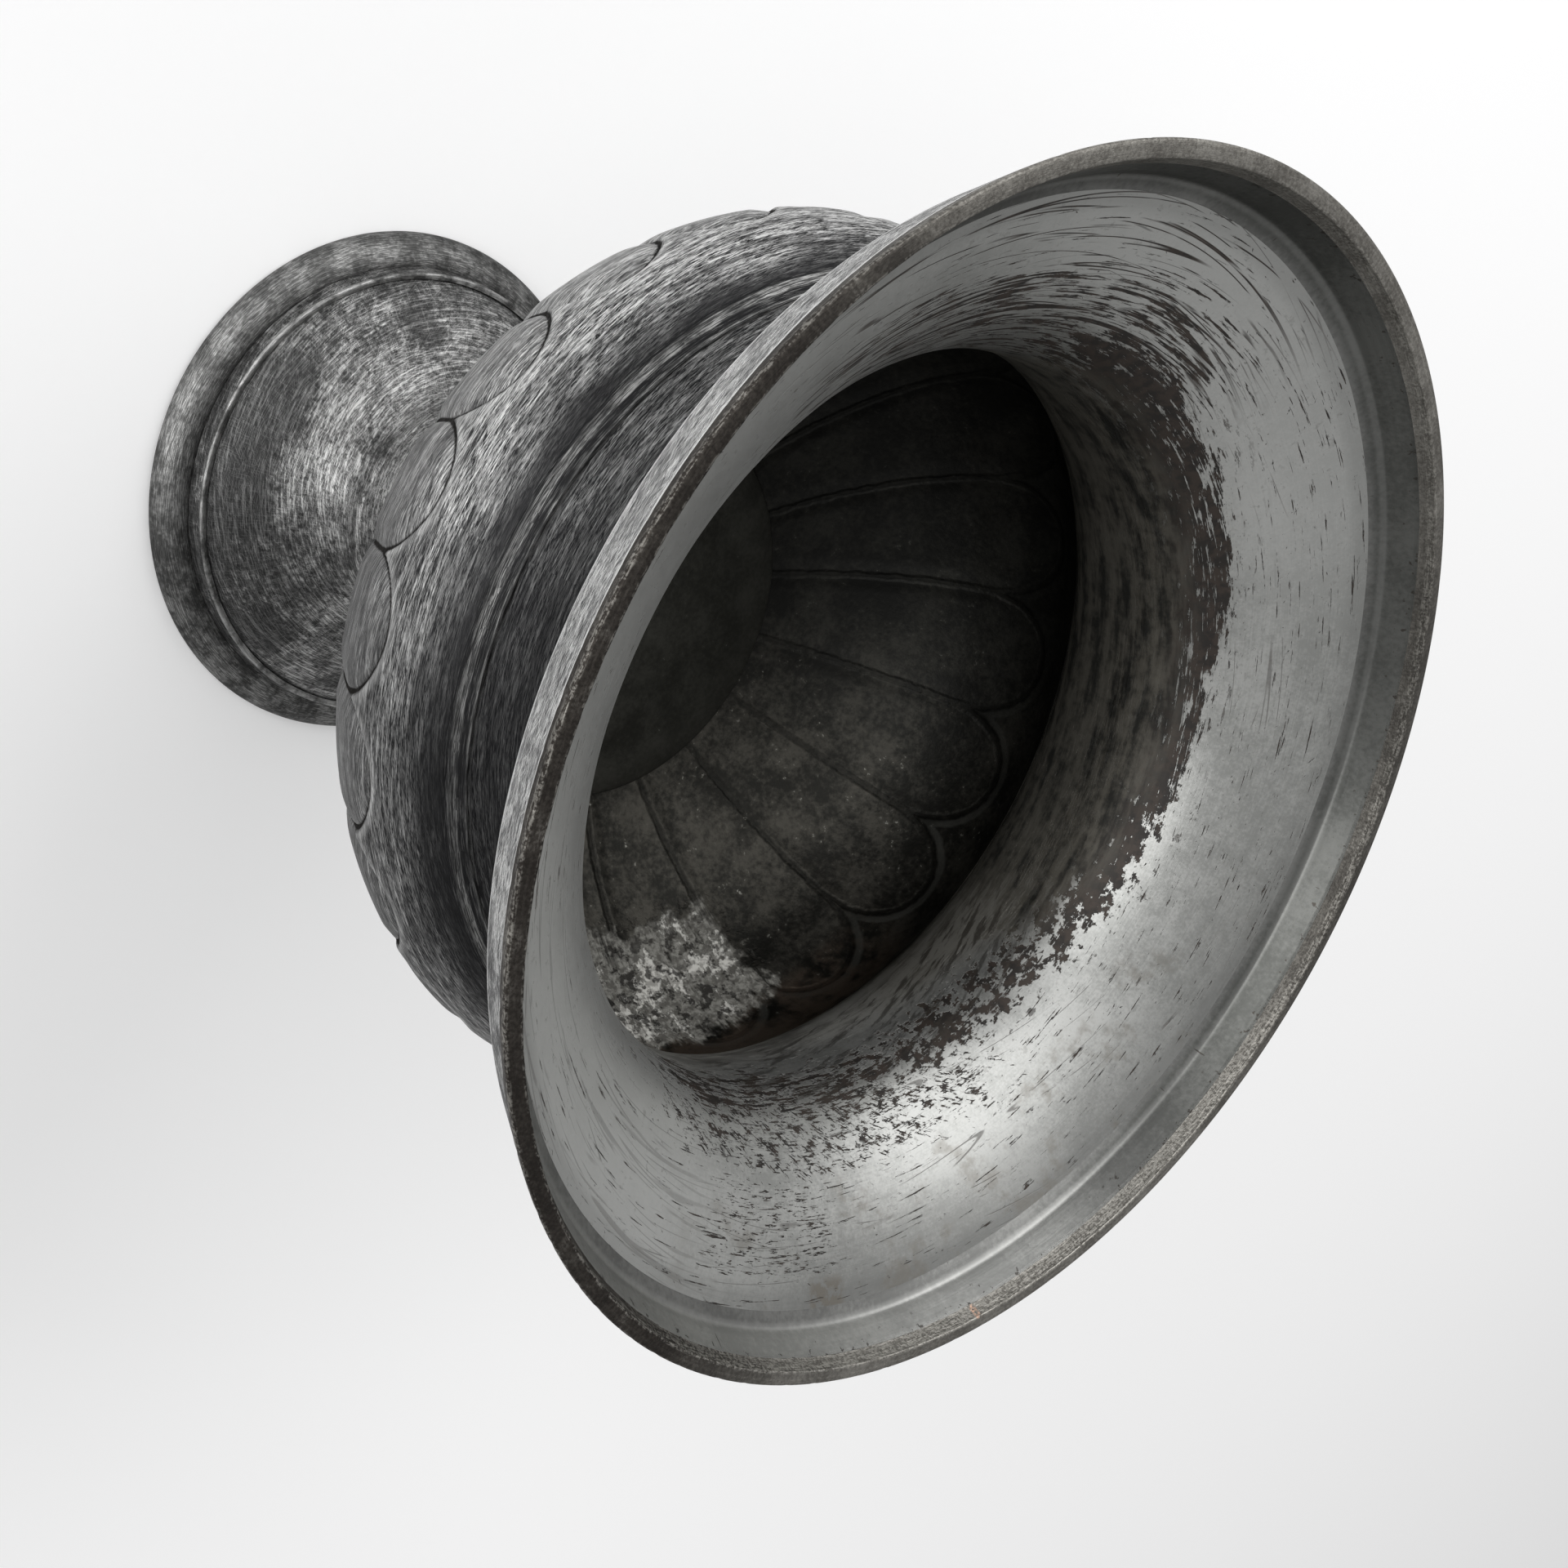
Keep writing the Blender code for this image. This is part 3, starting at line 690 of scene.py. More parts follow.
def bowl_inner_material():
    """Nearly black stain inside the bowl, with pale specks and one crusted patch, painted lighter on the
    lit side and with painted highlights at the petal tips.
    """
    s = Surface("bowl_inner", 58.0)
    edge = petal_lines(s, INNER_TIP_HEIGHT, INNER_TIP_LENGTH, TIP_TILT) + (s.spots(2, 2) - 0.5) * 0.7
    line = s.step(s.math("ABSOLUTE", edge), 0.8, 0.2)
    # Painted highlight: a light band just outside the petal tips, mixed in strongest on the lit side.
    light = s.band(edge, 0.8, 1.4, 0.5) * s.step(s.z, 92, 99)
    cloud = s.spots(8, 5, 0.62)
    fine = s.spots(1, 4, 0.65, offset=4)
    # Painted light and shade: the stain is lighter, and its specks and petal lines stronger, on the side
    # towards -70 degrees where the light falls.
    lit_side = s.near(-70, 0.8, 0.9)
    tone = s.step(cloud * 0.6 + fine * 0.4, 0.4, 0.64)
    dark = s.mix((0.011, 0.011, 0.01), (0.026, 0.0255, 0.022), tone)
    lit_stain = s.mix((0.018, 0.0175, 0.015), (0.072, 0.068, 0.058), tone)
    colour = s.mix(dark, lit_stain, lit_side)
    specks = s.step(fine, 0.64, 0.69) * s.step(s.spots(7, 3, 0.6, offset=9), 0.48, 0.6)
    specks = specks * s.blend(0.1, 0.7, lit_side)
    colour = s.mix(colour, (0.3, 0.3, 0.27), specks)
    line_share = line * s.blend(0.35, 0.75, lit_side) * s.blend(0.35, 0.9, s.step(cloud, 0.38, 0.6))
    colour = s.mix(colour, (0.006, 0.006, 0.005), line_share)
    colour = s.mix(colour, (0.13, 0.13, 0.118), light * s.blend(0.04, 0.6, lit_side))
    rust = s.near(-54, 0.3, 0.25) * s.band(s.z, 98, 107, 4) * s.step(cloud, 0.38, 0.56)
    colour = s.mix(colour, (0.15, 0.112, 0.085), rust * 0.65)

    patch = s.near(-62, 0.15, 0.24) * s.band(s.z, 84, 95, 7)
    blobs = s.spots(6, 5, 0.66, offset=12)
    ribs = s.down(9, 1.3, 5, 0.7, offset=2)
    crusted = blobs * 0.5 + ribs * 0.5 + patch * 0.19
    inside = s.step(patch + (s.spots(5, 4, 0.6, offset=33) - 0.5) * 2.4, 0.25, 0.55)
    inside = inside * s.step(patch, 0, 0.12)
    film = s.step(crusted, 0.53, 0.65) * inside
    crumbs = blobs * 0.7 + ribs * 0.3 + patch * 0.19 + (fine - 0.5) * 0.16
    crust = s.step(crumbs, 0.7, 0.745) * inside
    pores = s.step(s.spots(2.2, 5, 0.65, offset=15), 0.53, 0.6) * patch
    colour = s.mix(colour, s.mix((0.15, 0.145, 0.13), (0.36, 0.355, 0.325), s.step(fine, 0.4, 0.62)),
                   film * 0.85)
    colour = s.mix(colour, s.mix((0.42, 0.41, 0.38), (0.8, 0.79, 0.74), s.step(fine, 0.42, 0.6)), crust)
    colour = s.mix(colour, (0.02, 0.018, 0.016), pores * 0.85)
    relief = cloud * 0.5 + fine * 0.5 + crust * 1.4 + pores * -1 + line * -1
    roughness = s.blend(s.blend(0.4, 0.56, cloud), 0.85, film)
    return s.finish(colour, s.blend(0.75, 0, film), roughness, relief, 0.14)


def floor_disc_material():
    """Stained disc in the bottom of the bowl, painted lighter near its edge as a highlight."""
    s = Surface("disc_stain", 20.0)
    cloud = s.spots(6, 5, 0.62, offset=3)
    fine = s.spots(0.8, 3, 0.65)
    # Painted highlight: lighter towards the rolled edge.
    rim = s.step(s.r, 20, 30.5)
    tone = s.step(cloud * 0.6 + fine * 0.4, 0.36, 0.66) * 0.7 + rim * 0.35
    colour = s.mix((0.042, 0.042, 0.036), (0.095, 0.094, 0.082), tone)
    colour = s.mix(colour, (0.25, 0.25, 0.22), s.step(fine, 0.715, 0.74) * 0.5)
    return s.finish(colour, 0.8, s.blend(0.4, 0.52, cloud), cloud + fine * 0.4, 0.06)


def foot_material():
    """Mottled patina of the foot, rubbed in patches and crossed by fine scratches."""
    s = Surface("foot_patina", 34.0)
    patch = s.spots(8, 5, 0.62)
    grain = s.spots(1, 4, 0.65, offset=6)
    fine = s.around(2.2, 0.11, 3, 0.66)
    cross = s.down(2.6, 0.12, 2, 0.6)
    slanted = s.around(2.2, 0.13, 2, 0.6, offset=5, slant=0.9)
    broad = s.around(7, 0.34, 4, 0.66, offset=8, slant=0.15)
    lines = (s.step(fine, 0.48, 0.62) * 0.8 + s.step(cross, 0.53, 0.66) * 0.5
             + s.step(slanted, 0.52, 0.66) * 0.6 + s.step(broad, 0.5, 0.61) * 0.9)
    # Painted light and shade: fewer rubbed patches on the side towards -155 degrees, away from the light,
    # and more on the side towards 165 degrees that faces it.
    shaded_foot_side = s.near(-155, 0.55, 0.4) * s.step(s.z, 16, 12)
    highlight_side = s.near(165, 0.3, 0.5) * s.step(s.z, 12, 16)
    lean = shaded_foot_side * -0.13 + highlight_side * 0.07
    worn = s.step(patch * 0.6 + grain * 0.4 + lean, 0.39, 0.62)
    share = s.capped(lines * s.blend(0.14, 0.62, worn) + worn * 0.08)
    colour = s.mix((0.036, 0.036, 0.036), (0.66, 0.66, 0.65), share)
    colour = s.mix(colour, (0.026, 0.026, 0.025), s.step(grain, 0.42, 0.34) * 0.55)
    height = fine + cross * 0.5 + slanted * 0.5 + grain * 0.8
    return s.finish(colour, 1, s.blend(0.48, 0.36, share), height, 0.055)


def foot_edge_material(name="foot_edge", wear=0.0):
    """Edge band and wire of the foot: smoother patina, rubbed in patches."""
    s = Surface(name, 42.0)
    fine = s.around(2.2, 0.12, 3, 0.66)
    patch = s.spots(5, 5, 0.66)
    speck = s.spots(0.8, 3, 0.65, offset=2)
    worn = s.blend(0.1, 0.7, s.step(patch * 0.7 + speck * 0.3, 0.4, 0.6))
    # More rubbed streaks on the side towards 165 degrees that faces the light: painted highlight over real
    # wear.
    highlight_side = s.near(165, 0.5, 0.6)
    streaks = s.blend(0.25, 1, s.step(fine, 0.44, 0.62)) * (worn + highlight_side * 0.25) * 0.8
    share = s.capped(streaks + s.step(patch, 0.36, 0.62) * wear)
    colour = s.mix((0.04, 0.04, 0.039), (0.58, 0.58, 0.57), share)
    return s.finish(colour, 1, s.blend(0.46, 0.36, share), fine + speck, 0.05)


def hoop_material():
    """Hoop round the neck: dark in its channel, rubbed bright on both ridges."""
    s = Surface("hoop", 58.0)
    fine = s.around(3, 0.12, 3, 0.65)
    patch = s.spots(7, 4, 0.65)
    worn = s.step(patch, 0.34, 0.6)
    crests = [hoop_point(crest, 0.9)[1] for crest in HOOP_RIDGES]
    ridges = s.most(s.band(s.z, crests[0] - 0.35, crests[0] + 0.15, 0.2),
                    s.band(s.z, crests[1] - 0.3, crests[1] + 0.1, 0.2))
    # Fewer rubbed ridges on the side towards -125 degrees, away from the light: painted shade.
    worn = worn * s.blend(1, 0.45, s.near(-125, 0.7, 0.8))
    rubbed = ridges * s.blend(0.2, 0.75, worn) * s.blend(0.2, 1, s.step(fine, 0.44, 0.56))
    share = s.capped(rubbed + s.step(fine, 0.5, 0.66) * s.blend(0.08, 0.35, worn))
    colour = s.mix((0.026, 0.026, 0.027), (0.5, 0.5, 0.49), share)
    return s.finish(colour, 1, s.blend(0.5, 0.42, share), fine, 0.09)


def dull_inside_material():
    """Unpolished inside of the foot: cast and oxidised."""
    s = Surface("foot_inside", 30.0)
    grain = s.spots(0.8, 4, 0.7)
    cloud = s.spots(6, 3, 0.6)
    colour = s.mix((0.035, 0.033, 0.03), (0.12, 0.11, 0.095), s.step(cloud, 0.35, 0.65))
    return s.finish(colour, 0.6, s.blend(0.5, 0.75, cloud), grain, 0.1)


def steel_material():
    """Turned steel of the bolt, washer and nut, a little oiled and stained."""
    s = Surface("turned_steel", 8.0)
    fine = s.around(6, 0.12, 3, 0.6)
    cloud = s.spots(3, 3, 0.6)
    tone = s.step(fine * 0.4 + cloud * 0.6, 0.36, 0.6)
    colour = s.mix((0.22, 0.215, 0.21), (0.5, 0.5, 0.505), tone)
    rust = s.step(s.spots(1.5, 4, 0.65, offset=2), 0.58, 0.68)
    colour = s.mix(colour, (0.16, 0.1, 0.06), rust * 0.6)
    return s.finish(colour, 1, s.blend(0.3, 0.45, cloud), fine + cloud, 0.03)


# ---------------------------------------------------------------- the mouth

def rim_outside(height):
    """Radius of the leaning outside of the lip and collar at a height."""
    return LIP_RADIUS - (LIP_TOP - LIP_ROUNDING - height) * math.tan(COLLAR_LEAN)


def make_lip():
    low = top_of("collar_band") - 0.05
    inner = LIP_RADIUS - LIP_WIDTH
    corners = [(LIP_RADIUS - 0.12, LIP_TOP, 0.75), (LIP_RADIUS, LIP_TOP - LIP_ROUNDING, 0.3),
               (rim_outside(low) + 0.05, low, 0.12), (rim_outside(low) - LIP_WIDTH + 0.08, low, 0.0),
               (inner, LIP_TOP - LIP_ROUNDING, 0.3), (inner + 0.15, LIP_TOP, 0.75)]

    def shift(phi, r, z):
        nicks = np.sin(37 * phi) * np.sin(53 * phi + 1) * np.sin(91 * phi + 2)
        return wobble(phi, (0.05, 0.04, 0.03), 1.0) - 0.05 * smooth(nicks, 0.35, 0.8)

    outline = filled(rounded(corners, 6), 0.45)
    piece = turned("lip_bead", outline, 1080, [lip_material()], shift=shift)
    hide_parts("lip_ring")


def flare_outlines():
    """Outer side of the mouth from its rim to the seam, and the wall's inner side back up."""
    rim = (reach("mouth_flare"), top_of("collar_band") - 7.0)
    neck = (NECK_RADIUS, NECK_HEIGHT)
    seam, tangent = seam_place()
    run = (seam[0] - NECK_RADIUS) / tangent[0]
    outer = bent(rim, (NECK_RADIUS, (rim[1] + NECK_HEIGHT) / 2), neck, 34)
    cavetto = bent(neck, (NECK_RADIUS, seam[1] - tangent[1] * run), seam, 16)
    outside = np.vstack([outer, cavetto[1:]])
    return outside, inner_side(outside, FLARE_WALL)


def seam_place():
    """Where the mouth piece meets the bowl, and the direction down the shoulder there."""
    sine = math.sqrt(1 - (SEAM_RADIUS / BOWL_RADIUS) ** 2)
    tangent = np.array([BOWL_RADIUS * sine, -SHOULDER_RISE * SEAM_RADIUS / BOWL_RADIUS])
    place = np.array([SEAM_RADIUS, BOWL_WIDEST_HEIGHT + SHOULDER_RISE * sine])
    return place, tangent / np.linalg.norm(tangent)


def make_collar(flare_outside):
    """Leaning band. Its inner side runs over a faint ridge and a soft groove down into the flare."""
    high, low = top_of("collar_band"), bottom_of("collar_band")
    edge = rim_outside(low)
    rim_out = flare_outside[0]
    top_inner = rim_outside(high) - LIP_WIDTH + 0.1
    wall_foot = (top_inner - (high - 152.4) * math.tan(COLLAR_LEAN), 152.4)
    outer = filled(rounded([(rim_out[0] - 1.2, rim_out[1] + 0.35, 0), (top_inner, high, 0),
                            (rim_outside(high), high, 0.12), (edge, low, 0.16),
                            (edge - 1.15, low + 0.25, 0.15)], 5), 0.5, closed=False)[1:]
    outer = outer[int(np.argmin(np.linalg.norm(outer - np.array([top_inner, high]), axis=1))):]
    groove = curve(GROOVE_START, *GROOVE_HANDLES, COLLAR_RIDGE, 10)
    over = curve(COLLAR_RIDGE, (75.38, 150.95), (75.52, 151.6), wall_foot, 7)
    wall = filled(np.array([wall_foot, (top_inner, high)]), 0.6, closed=False)
    points = np.vstack([outer, [(rim_out[0] - 0.9, rim_out[1] + 0.2)], groove, over[1:], wall[1:-1]])
    split = len(outer) + 1

    def shift(phi, r, z):
        return wobble(phi, (0.05, 0.03, 0.03), 2.0)

    piece = turned("collar", points, 900, [collar_outer_material(), collar_inner_material()],
                   shift=shift, split=split)
    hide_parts("collar_band")


def make_flare(outside, inside):
    split = len(outside)
    points = np.vstack([outside, inside])

    def shift(phi, r, z):
        dents = np.sin(5 * phi + 0.12 * z) * np.sin(9 * phi - 0.2 * z + 1)
        return 0.06 * dents * smooth(z, 147.0, 142.0)

    piece = turned("trumpet_mouth", points, 900, [neck_outer_material(), tinned_material()],
                   shift=shift, split=split)
    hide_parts("mouth_flare")


HOOP_RIDGES = (-0.85, 1.45)


def hoop_point(along, out):
    """A point of the hoop's section: along the wall from the seam, and out from it."""
    place, tangent = seam_place()
    return place + tangent * along + np.array([-tangent[1], tangent[0]]) * out


def make_hoop():
    """Thin hoop over the seam with a fine raised ridge along each edge."""
    section = [(-1.5, 0.02, 0.1), (-1.36, 0.30, 0.25), (HOOP_RIDGES[0], 0.74, 0.55),
               (-0.2, 0.40, 0.4), (0.8, 0.34, 0.4), (HOOP_RIDGES[1], 0.60, 0.30), (1.9, 0.28, 0.25),
               (2.1, 0.02, 0.1)]
    corners = [(*hoop_point(a, b), c) for a, b, c in section]

    def shift(phi, r, z):
        uneven = np.sin(23 * phi + 2 * z) * np.sin(14 * phi + 1)
        uneven = uneven + 0.6 * np.sin(61 * phi) * np.sin(37 * phi + 2)
        return wobble(phi, (0.04, 0.04, 0.02), 3.0) + 0.06 * (uneven - 1.6)

    outline = filled(rounded(corners, 4), 0.3)
    piece = turned("neck_hoop", outline, 900, [hoop_material()], shift=shift)
    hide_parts("neck_band")


# ---------------------------------------------------------------- the bowl

def bowl_side(radius_less, fine, coarse, low):
    """One side of the bowl's wall, with close steps from a height up to just above the petal tips."""
    a, up, down = BOWL_RADIUS - radius_less, SHOULDER_RISE - radius_less, BOWL_DEPTH - radius_less
    seam = math.degrees(math.acos(min(1.0, SEAM_RADIUS / BOWL_RADIUS)))
    shoulder = ellipse((0, BOWL_WIDEST_HEIGHT), a, up, seam, 0, 200)
    hole = math.degrees(math.acos(4.6 / a))
    lower = ellipse((0, BOWL_WIDEST_HEIGHT), a, down, 0, -hole, 400)
    dense = np.vstack([shoulder, lower[1:]])
    length = np.concatenate([[0], np.cumsum(np.linalg.norm(np.diff(dense, axis=0), axis=1))])
    close = (dense[:, 1] > low) & (dense[:, 1] < 105.5)
    step = np.where(close, fine, coarse)
    index = np.concatenate([[0], np.cumsum(np.diff(length) / step[1:])])
    wanted = np.linspace(0, index[-1], int(round(index[-1])) + 1)
    return np.column_stack([np.interp(wanted, index, dense[:, 0]), np.interp(wanted, index, dense[:, 1])])


def make_bowl():
    """Bowl with raised petals outside, and the same petals sunk into the inside of the sheet."""
    outside = bowl_side(0.0, 0.45, 2.2, 93.0)
    inside = bowl_side(BOWL_WALL, 0.65, 2.4, 88.0)[::-1]
    split = len(outside)
    points = np.vstack([outside, inside])
    is_inside = np.arange(len(points)) >= split

    def shift(phi, r, z):
        outer = petal_edge(phi, r, z, OUTER_TIP_HEIGHT, OUTER_TIP_LENGTH)
        lean = TIP_TILT * np.cos(phi - TIP_TILT_TOWARDS)
        inner = petal_edge(phi, r, z, INNER_TIP_HEIGHT + lean, INNER_TIP_LENGTH)
        fade = smooth(z, 63.0, 68.0)
        narrow = 0.6 * smooth(z, 102.0, 90.0) * smooth(z, 70.0, 78.0)
        pillow = 0.45 * smooth(outer, -0.4, -3.6) - 0.45 * smooth(outer, 0.5, -0.4)
        pillow = pillow - 0.45 * np.exp(-(outer / 0.5) ** 2)
        tips = smooth(z, 90.0, 97.0)
        bay = 0.45 * smooth(inner, 0.5 + 0.6 * (1 - tips), -1.4 - 1.4 * (1 - tips))
        bay = bay + (0.10 + 0.18 * tips) * np.exp(-(inner / 0.7) ** 2)
        ripple = 0.05 * np.sin(7 * phi + 0.3 * z) * np.sin(0.45 * z - 3 * phi)
        moved = np.where(is_inside[None, :], -bay * (r > 30) + narrow, pillow - narrow)
        return moved * fade + ripple * fade

    piece = turned("petal_bowl", points, 800, [bowl_outer_material(), bowl_inner_material()],
                   shift=shift, split=split)
    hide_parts("bowl_body")


def make_floor_disc():
    """Slightly domed disc in the bottom of the bowl, with a rolled edge."""
    radius, high, low = reach("bowl_floor_disc"), top_of("bowl_floor_disc"), bottom_of("bowl_floor_disc")
    face = [(radius * k / 24, high - 0.5 * (k / 24) ** 3) for k in range(23)]
    edge = ellipse((radius - 0.55, high - 1.0), 0.55, 0.42, 80, -60, 8)
    points = np.vstack([face, edge, [(radius - 1.0, low)], [(0.0, low)]])

    def shift(phi, r, z):
        return -0.05 * (1 + np.sin(3 * phi + 0.2 * r) * np.sin(0.35 * r + phi)) * (z > low + 0.2)

    points = filled(points, 1.0, closed=False)
    piece = turned("bottom_disc", points, 360, [floor_disc_material()], closed=False,
                   shift=shift)
    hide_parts("bowl_floor_disc")


# ---------------------------------------------------------------- stem, foot and fixings

def make_stem():
    radius = reach("stem_tube")
    high, low = top_of("stem_tube"), bottom_of("stem_tube")
    middle = (high + low) / 2
    bore = 7.5
    outside = curve((radius, high), (radius - STEM_WAIST, middle + 4), (radius - STEM_WAIST, middle - 4),
                    (radius, low), 40)
    points = np.vstack([outside, [(bore, low), (bore, high)]])

    def shift(phi, r, z):
        return np.where(r > bore + 1, -0.03 * (1 + np.sin(z * 3.1 + np.sin(phi))), 0)

    piece = turned("stem", filled(points, 1.0), 360, [foot_material()], shift=shift)
    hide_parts("stem_tube")

    radius, high, low = reach("stem_collar"), top_of("stem_collar"), bottom_of("stem_collar")
    neck = reach("stem_tube") + 0.5
    lift = BOWL_DEPTH + 0.45
    across = np.linspace(bore, radius, 12)
    seat = BOWL_WIDEST_HEIGHT - lift * np.sqrt(1 - (across / (BOWL_RADIUS + 0.45)) ** 2)
    edge = (radius, seat[-1] - 1.2)
    side = bent(edge, (neck, edge[1] - 1.0), (neck, low), 20)
    points = np.vstack([np.column_stack([across, seat]), side, [(bore, low)]])
    piece = turned("stem_top_ring", filled(points, 0.8), 360, [foot_edge_material()],
                   shift=lambda phi, r, z: wobble(phi, (0.04, 0.03, 0.02)))
    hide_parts("stem_collar")


FOOT_WAIST_HANDLE = (20.2, 14.5)
FOOT_SPREAD_HANDLE = (34.0, 15.5)
FOOT_EDGE = (38.9, 6.2)
FOOT_LOW = (39.3, 4.7)


def make_foot():
    """Hollow trumpet foot, the wire round it and the rounded band along its edge."""
    stem = reach("stem_tube")
    high = top_of("foot_shell")
    flank = curve((stem, high - 1.5), FOOT_WAIST_HANDLE, FOOT_SPREAD_HANDLE, FOOT_EDGE, 60)
    shoulder = bent((stem - 1.2, high), (stem, high), (stem, high - 1.5), 7)
    outside = np.vstack([[(4.6, high)], shoulder[:-1], flank, [FOOT_LOW]])
    outside = filled(outside, 1.2, closed=False)
    inside = inner_side(outside, FOOT_WALL)
    inside[-1] = (4.6, high - FOOT_WALL)
    inside[0] = (inside[0][0], FOOT_LOW[1])

    def shift(phi, r, z):
        hammered = np.sin(4 * phi + 0.5 * z) * np.sin(7 * phi - 0.7 * z + 2)
        return 0.07 * (hammered - 1) * smooth(z, 5.2, 8.0) * (z < high - 1)

    patinas = [foot_material(), dull_inside_material()]
    piece = turned("trumpet_foot", np.vstack([outside, inside]), 540, patinas, shift=shift,
                   split=len(outside))
    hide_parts("foot_shell")

    edge_patina = foot_edge_material()
    tangent = flank[-1] - flank[-4]
    tangent /= np.linalg.norm(tangent)
    normal = np.array([-tangent[1], tangent[0]])
    middle = flank[-4]
    angle = np.radians(np.linspace(180, 0, 11))
    wire = middle + np.outer(0.6 * np.cos(angle), tangent) + np.outer(0.05 + 0.95 * np.sin(angle), normal)
    piece = turned("foot_wire", wire, 540, [foot_edge_material("wire", 0.35)],
                   shift=lambda phi, r, z: wobble(phi, (0.05, 0.03, 0.02), 2.5))
    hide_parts("foot_bead")

    radius, low = reach("foot_edge_band"), bottom_of("foot_edge_band")
    crest = top_of("foot_edge_band")
    rim = ellipse((39.7, 0.9), radius - 39.7, crest - 0.9, 90, 0, 22)
    band = np.vstack([[(36.9, crest - 0.8), (38.3, crest - 0.05)], rim,
                      [(44.3, 0.35), (43.7, low), (38.4, low)]])
    piece = turned("foot_band", filled(band, 0.6), 540, [edge_patina],
                   shift=lambda phi, r, z: wobble(phi, (0.05, 0.04, 0.02), 0.7) * (z > low + 0.3))
    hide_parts("foot_edge_band")


def make_fixings():
    """Bolt with a cut thread, plain washer and chamfered hexagon nut."""
    steel = steel_material()
    high, low = top_of("tie_bolt"), bottom_of("tie_bolt")
    head = reach("tie_bolt")
    shank, pitch, depth = 4.0, 1.25, 0.62
    seat = BOWL_WIDEST_HEIGHT - BOWL_DEPTH + BOWL_WALL + 0.9
    corners = np.array([(0, high), (head - 0.8, high), (head, high - 0.5), (head, seat + 0.2),
                        (head - 0.3, seat), (shank, seat), (shank, 26.0), (shank, low + 0.8),
                        (shank - 0.8, low), (0, low)])
    upper = filled(corners[:7], 2.0, closed=False)
    lower = filled(corners[6:], 0.16, closed=False)

    def thread(phi, r, z):
        turn = (z / pitch + phi / TAU) % 1.0
        cut = depth * np.abs(2 * turn - 1) * (z < 25.5) * (r > shank - 0.1)
        return r - cut

    piece = turned("through_bolt", np.vstack([upper[:-1], lower]), 72, [steel], closed=False,
                   shape=thread)
    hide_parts("tie_bolt")

    radius, high, low = reach("clamp_washer"), top_of("clamp_washer"), bottom_of("clamp_washer")
    ring = rounded([(radius, high, 0.3), (radius, low, 0.3), (4.6, low, 0.3), (4.6, high, 0.3)], 4)
    piece = turned("foot_washer", filled(ring, 1.0), 180, [steel],
                   shift=lambda phi, r, z: wobble(phi, (0.02, 0.02, 0.01)))
    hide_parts("clamp_washer")

    high, low = top_of("clamp_nut"), bottom_of("clamp_nut")
    flat = 7.0
    chamfer = flat * 1.04
    column = filled(np.array([(flat * 0.93, high), (flat * 1.2, high - 1.0), (flat * 1.2, low + 1.0),
                              (flat * 0.93, low), (4.9, low), (4.3, low + 0.6), (4.3, high - 0.6),
                              (4.9, high)]), 0.5)

    def hexagon(phi, r, z):
        side = flat / np.cos((phi % (TAU / 6)) - TAU / 12)
        bevel = chamfer + np.minimum(high - z, z - low) * 1.7
        return np.where(r > flat * 0.94, np.minimum(np.minimum(side, bevel), flat * 1.1547), r)

    piece = turned("hex_nut", column, 180, [steel], shape=hexagon)
    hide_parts("clamp_nut")


# ---------------------------------------------------------------- camera, floor and light

CAMERA_PLACE = Vector((-0.20942, 0.0, 0.29983))
CAMERA_TURN = (-2.6334, -0.5689, -1.0442)
CAMERA_LENS = 46.51
CAMERA_SHIFT = (0.1141, 0.0089)


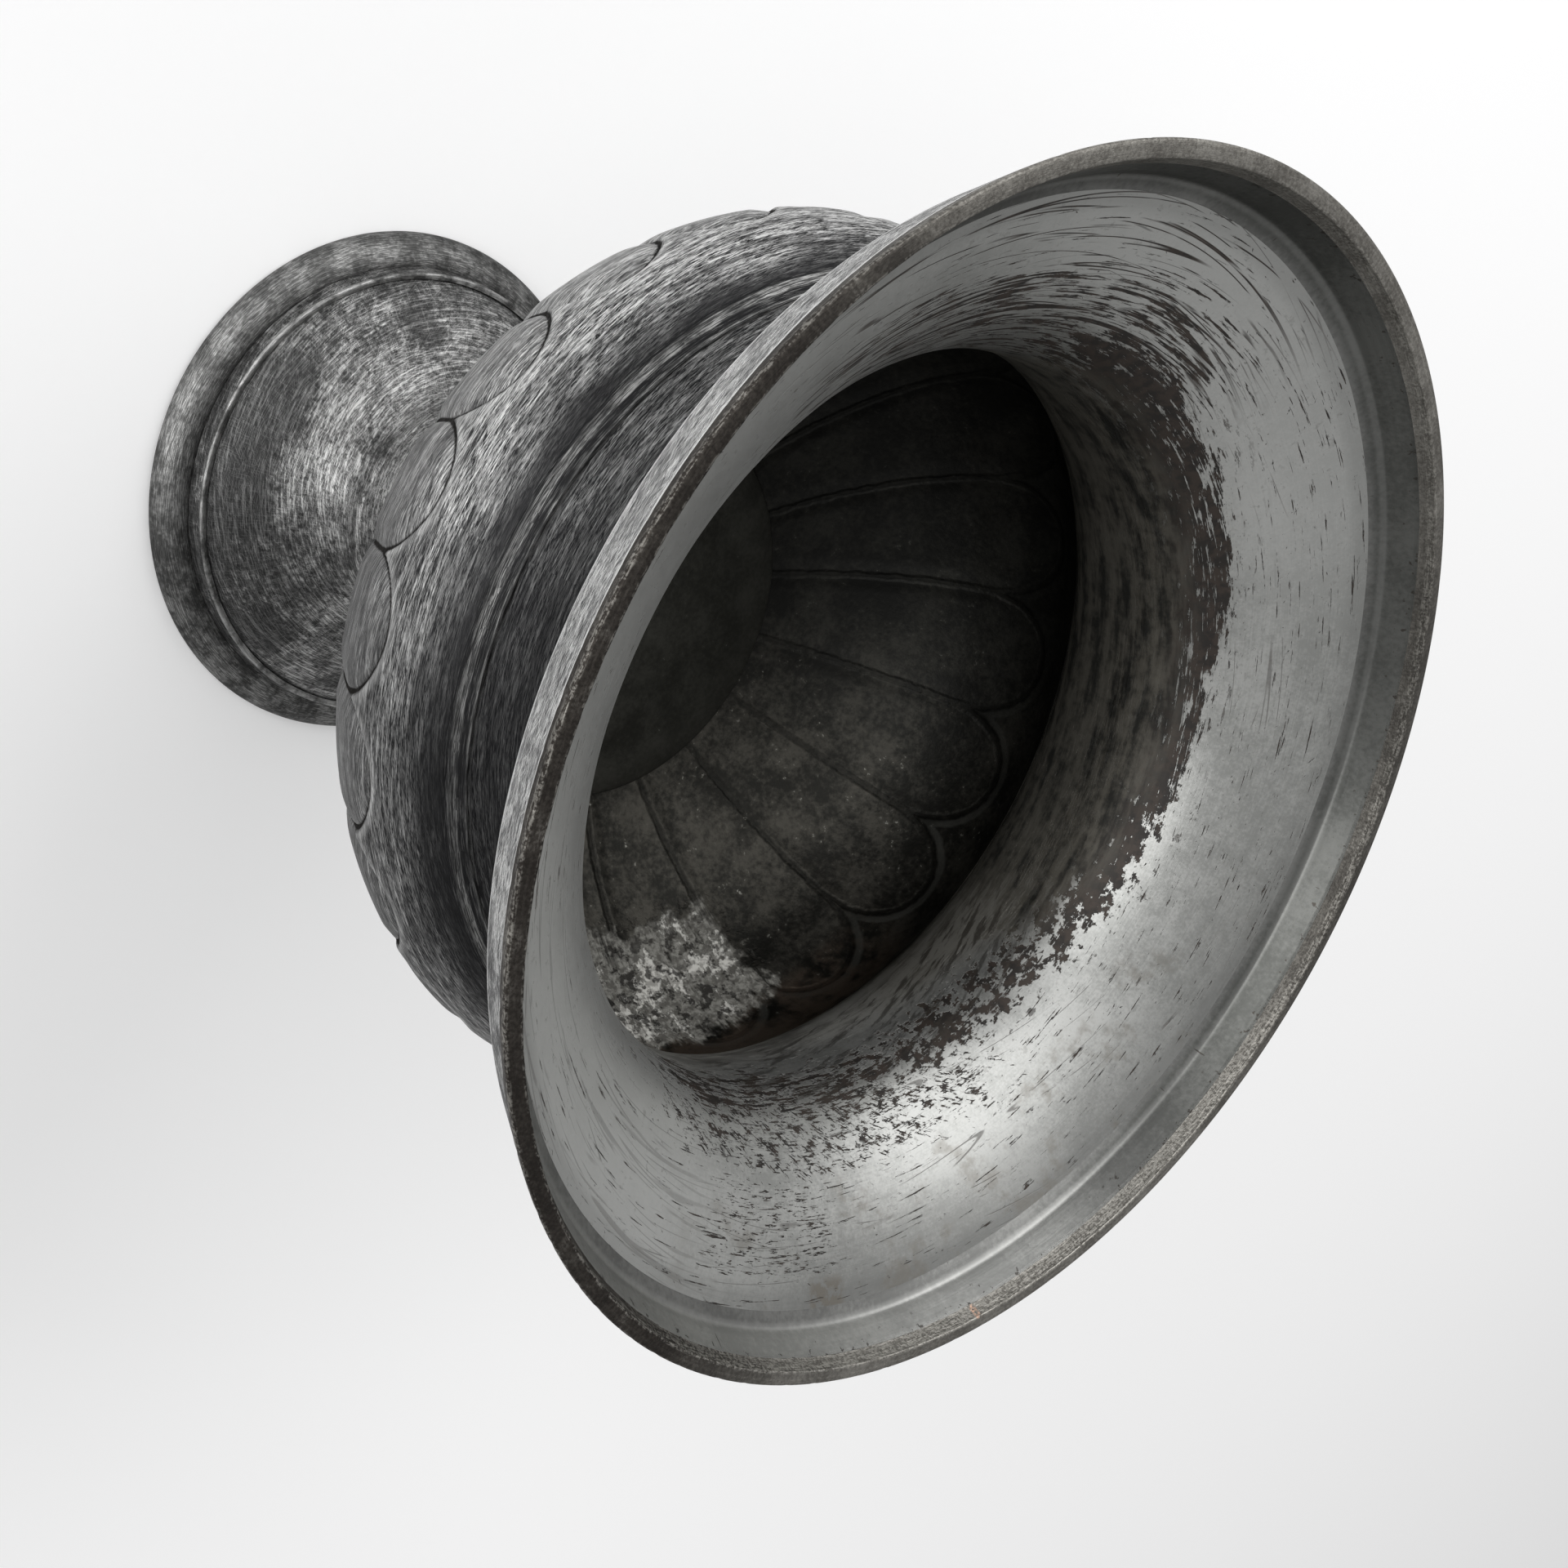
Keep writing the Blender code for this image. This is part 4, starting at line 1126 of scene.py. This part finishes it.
def make_camera():
    """Close camera above the mouth, rolled so that the chalice seems to lie with its mouth forward."""
    turn = Vector(CAMERA_TURN)
    to_camera = Matrix.Rotation(turn.length, 3, turn.normalized())
    flip = Matrix(((1, 0, 0), (0, -1, 0), (0, 0, -1)))
    data = bpy.data.cameras.new("camera")
    data.lens = CAMERA_LENS
    data.sensor_width = 36.0
    data.shift_x, data.shift_y = CAMERA_SHIFT
    data.clip_start = 0.01
    camera = placed("camera", data)
    camera.matrix_world = Matrix.Translation(CAMERA_PLACE) @ (to_camera.transposed() @ flip).to_4x4()
    bpy.context.scene.camera = camera


def make_floor():
    """Plain pale matt floor."""
    mesh = bpy.data.meshes.new("floor")
    half = 4.0
    corners = [(-half, -half, 0), (half, -half, 0), (half, half, 0), (-half, half, 0)]
    mesh.from_pydata(corners, [], [(0, 1, 2, 3)])
    material = bpy.data.materials.new("floor")
    material.use_nodes = True
    shader = material.node_tree.nodes["Principled BSDF"]
    for name, value in (("Base Color", (0.93, 0.93, 0.932, 1)), ("Roughness", 0.9),
                        ("Specular IOR Level", 0.1), ("Emission Color", (1, 1, 1, 1)),
                        ("Emission Strength", 0.08)):
        shader.inputs[name].default_value = value
    mesh.materials.append(material)
    floor = placed("floor", mesh)


def area_light(name, azimuth, elevation, distance, size, power):
    """Soft light aimed at the middle of the chalice from a direction in degrees."""
    a, e = math.radians(azimuth), math.radians(elevation)
    aim = Vector((0, 0, (cad_box[0].z + cad_box[1].z) / 2))
    away = Vector((math.cos(a) * math.cos(e), math.sin(a) * math.cos(e), math.sin(e)))
    data = bpy.data.lights.new(name, "AREA")
    data.shape = "RECTANGLE"
    data.size, data.size_y = size
    data.energy = power
    light = placed(name, data)
    light.location = aim + away * distance
    light.rotation_mode = "QUATERNION"
    light.rotation_quaternion = (-away).to_track_quat("-Z", "Y")


def make_light():
    world = bpy.data.worlds.new("pale room")
    world.use_nodes = True
    background = world.node_tree.nodes["Background"]
    background.inputs["Color"].default_value = (1.0, 1.0, 1.0, 1)
    background.inputs["Strength"].default_value = 0.46
    bpy.context.scene.world = world
    area_light("window", 84, 44, 1.2, (1.0, 1.0), 6.4)
    area_light("fill", 178, 36, 2.0, (1.9, 1.9), 24.0)
    bpy.context.scene.view_settings.view_transform = "Standard"
    bpy.context.scene.view_settings.look = "None"


def main():
    make_camera()
    make_floor()
    make_light()
    make_lip()
    outside, inside = flare_outlines()
    make_collar(outside)
    make_flare(outside, inside)
    make_hoop()
    make_bowl()
    make_floor_disc()
    make_stem()
    make_foot()
    make_fixings()


main()
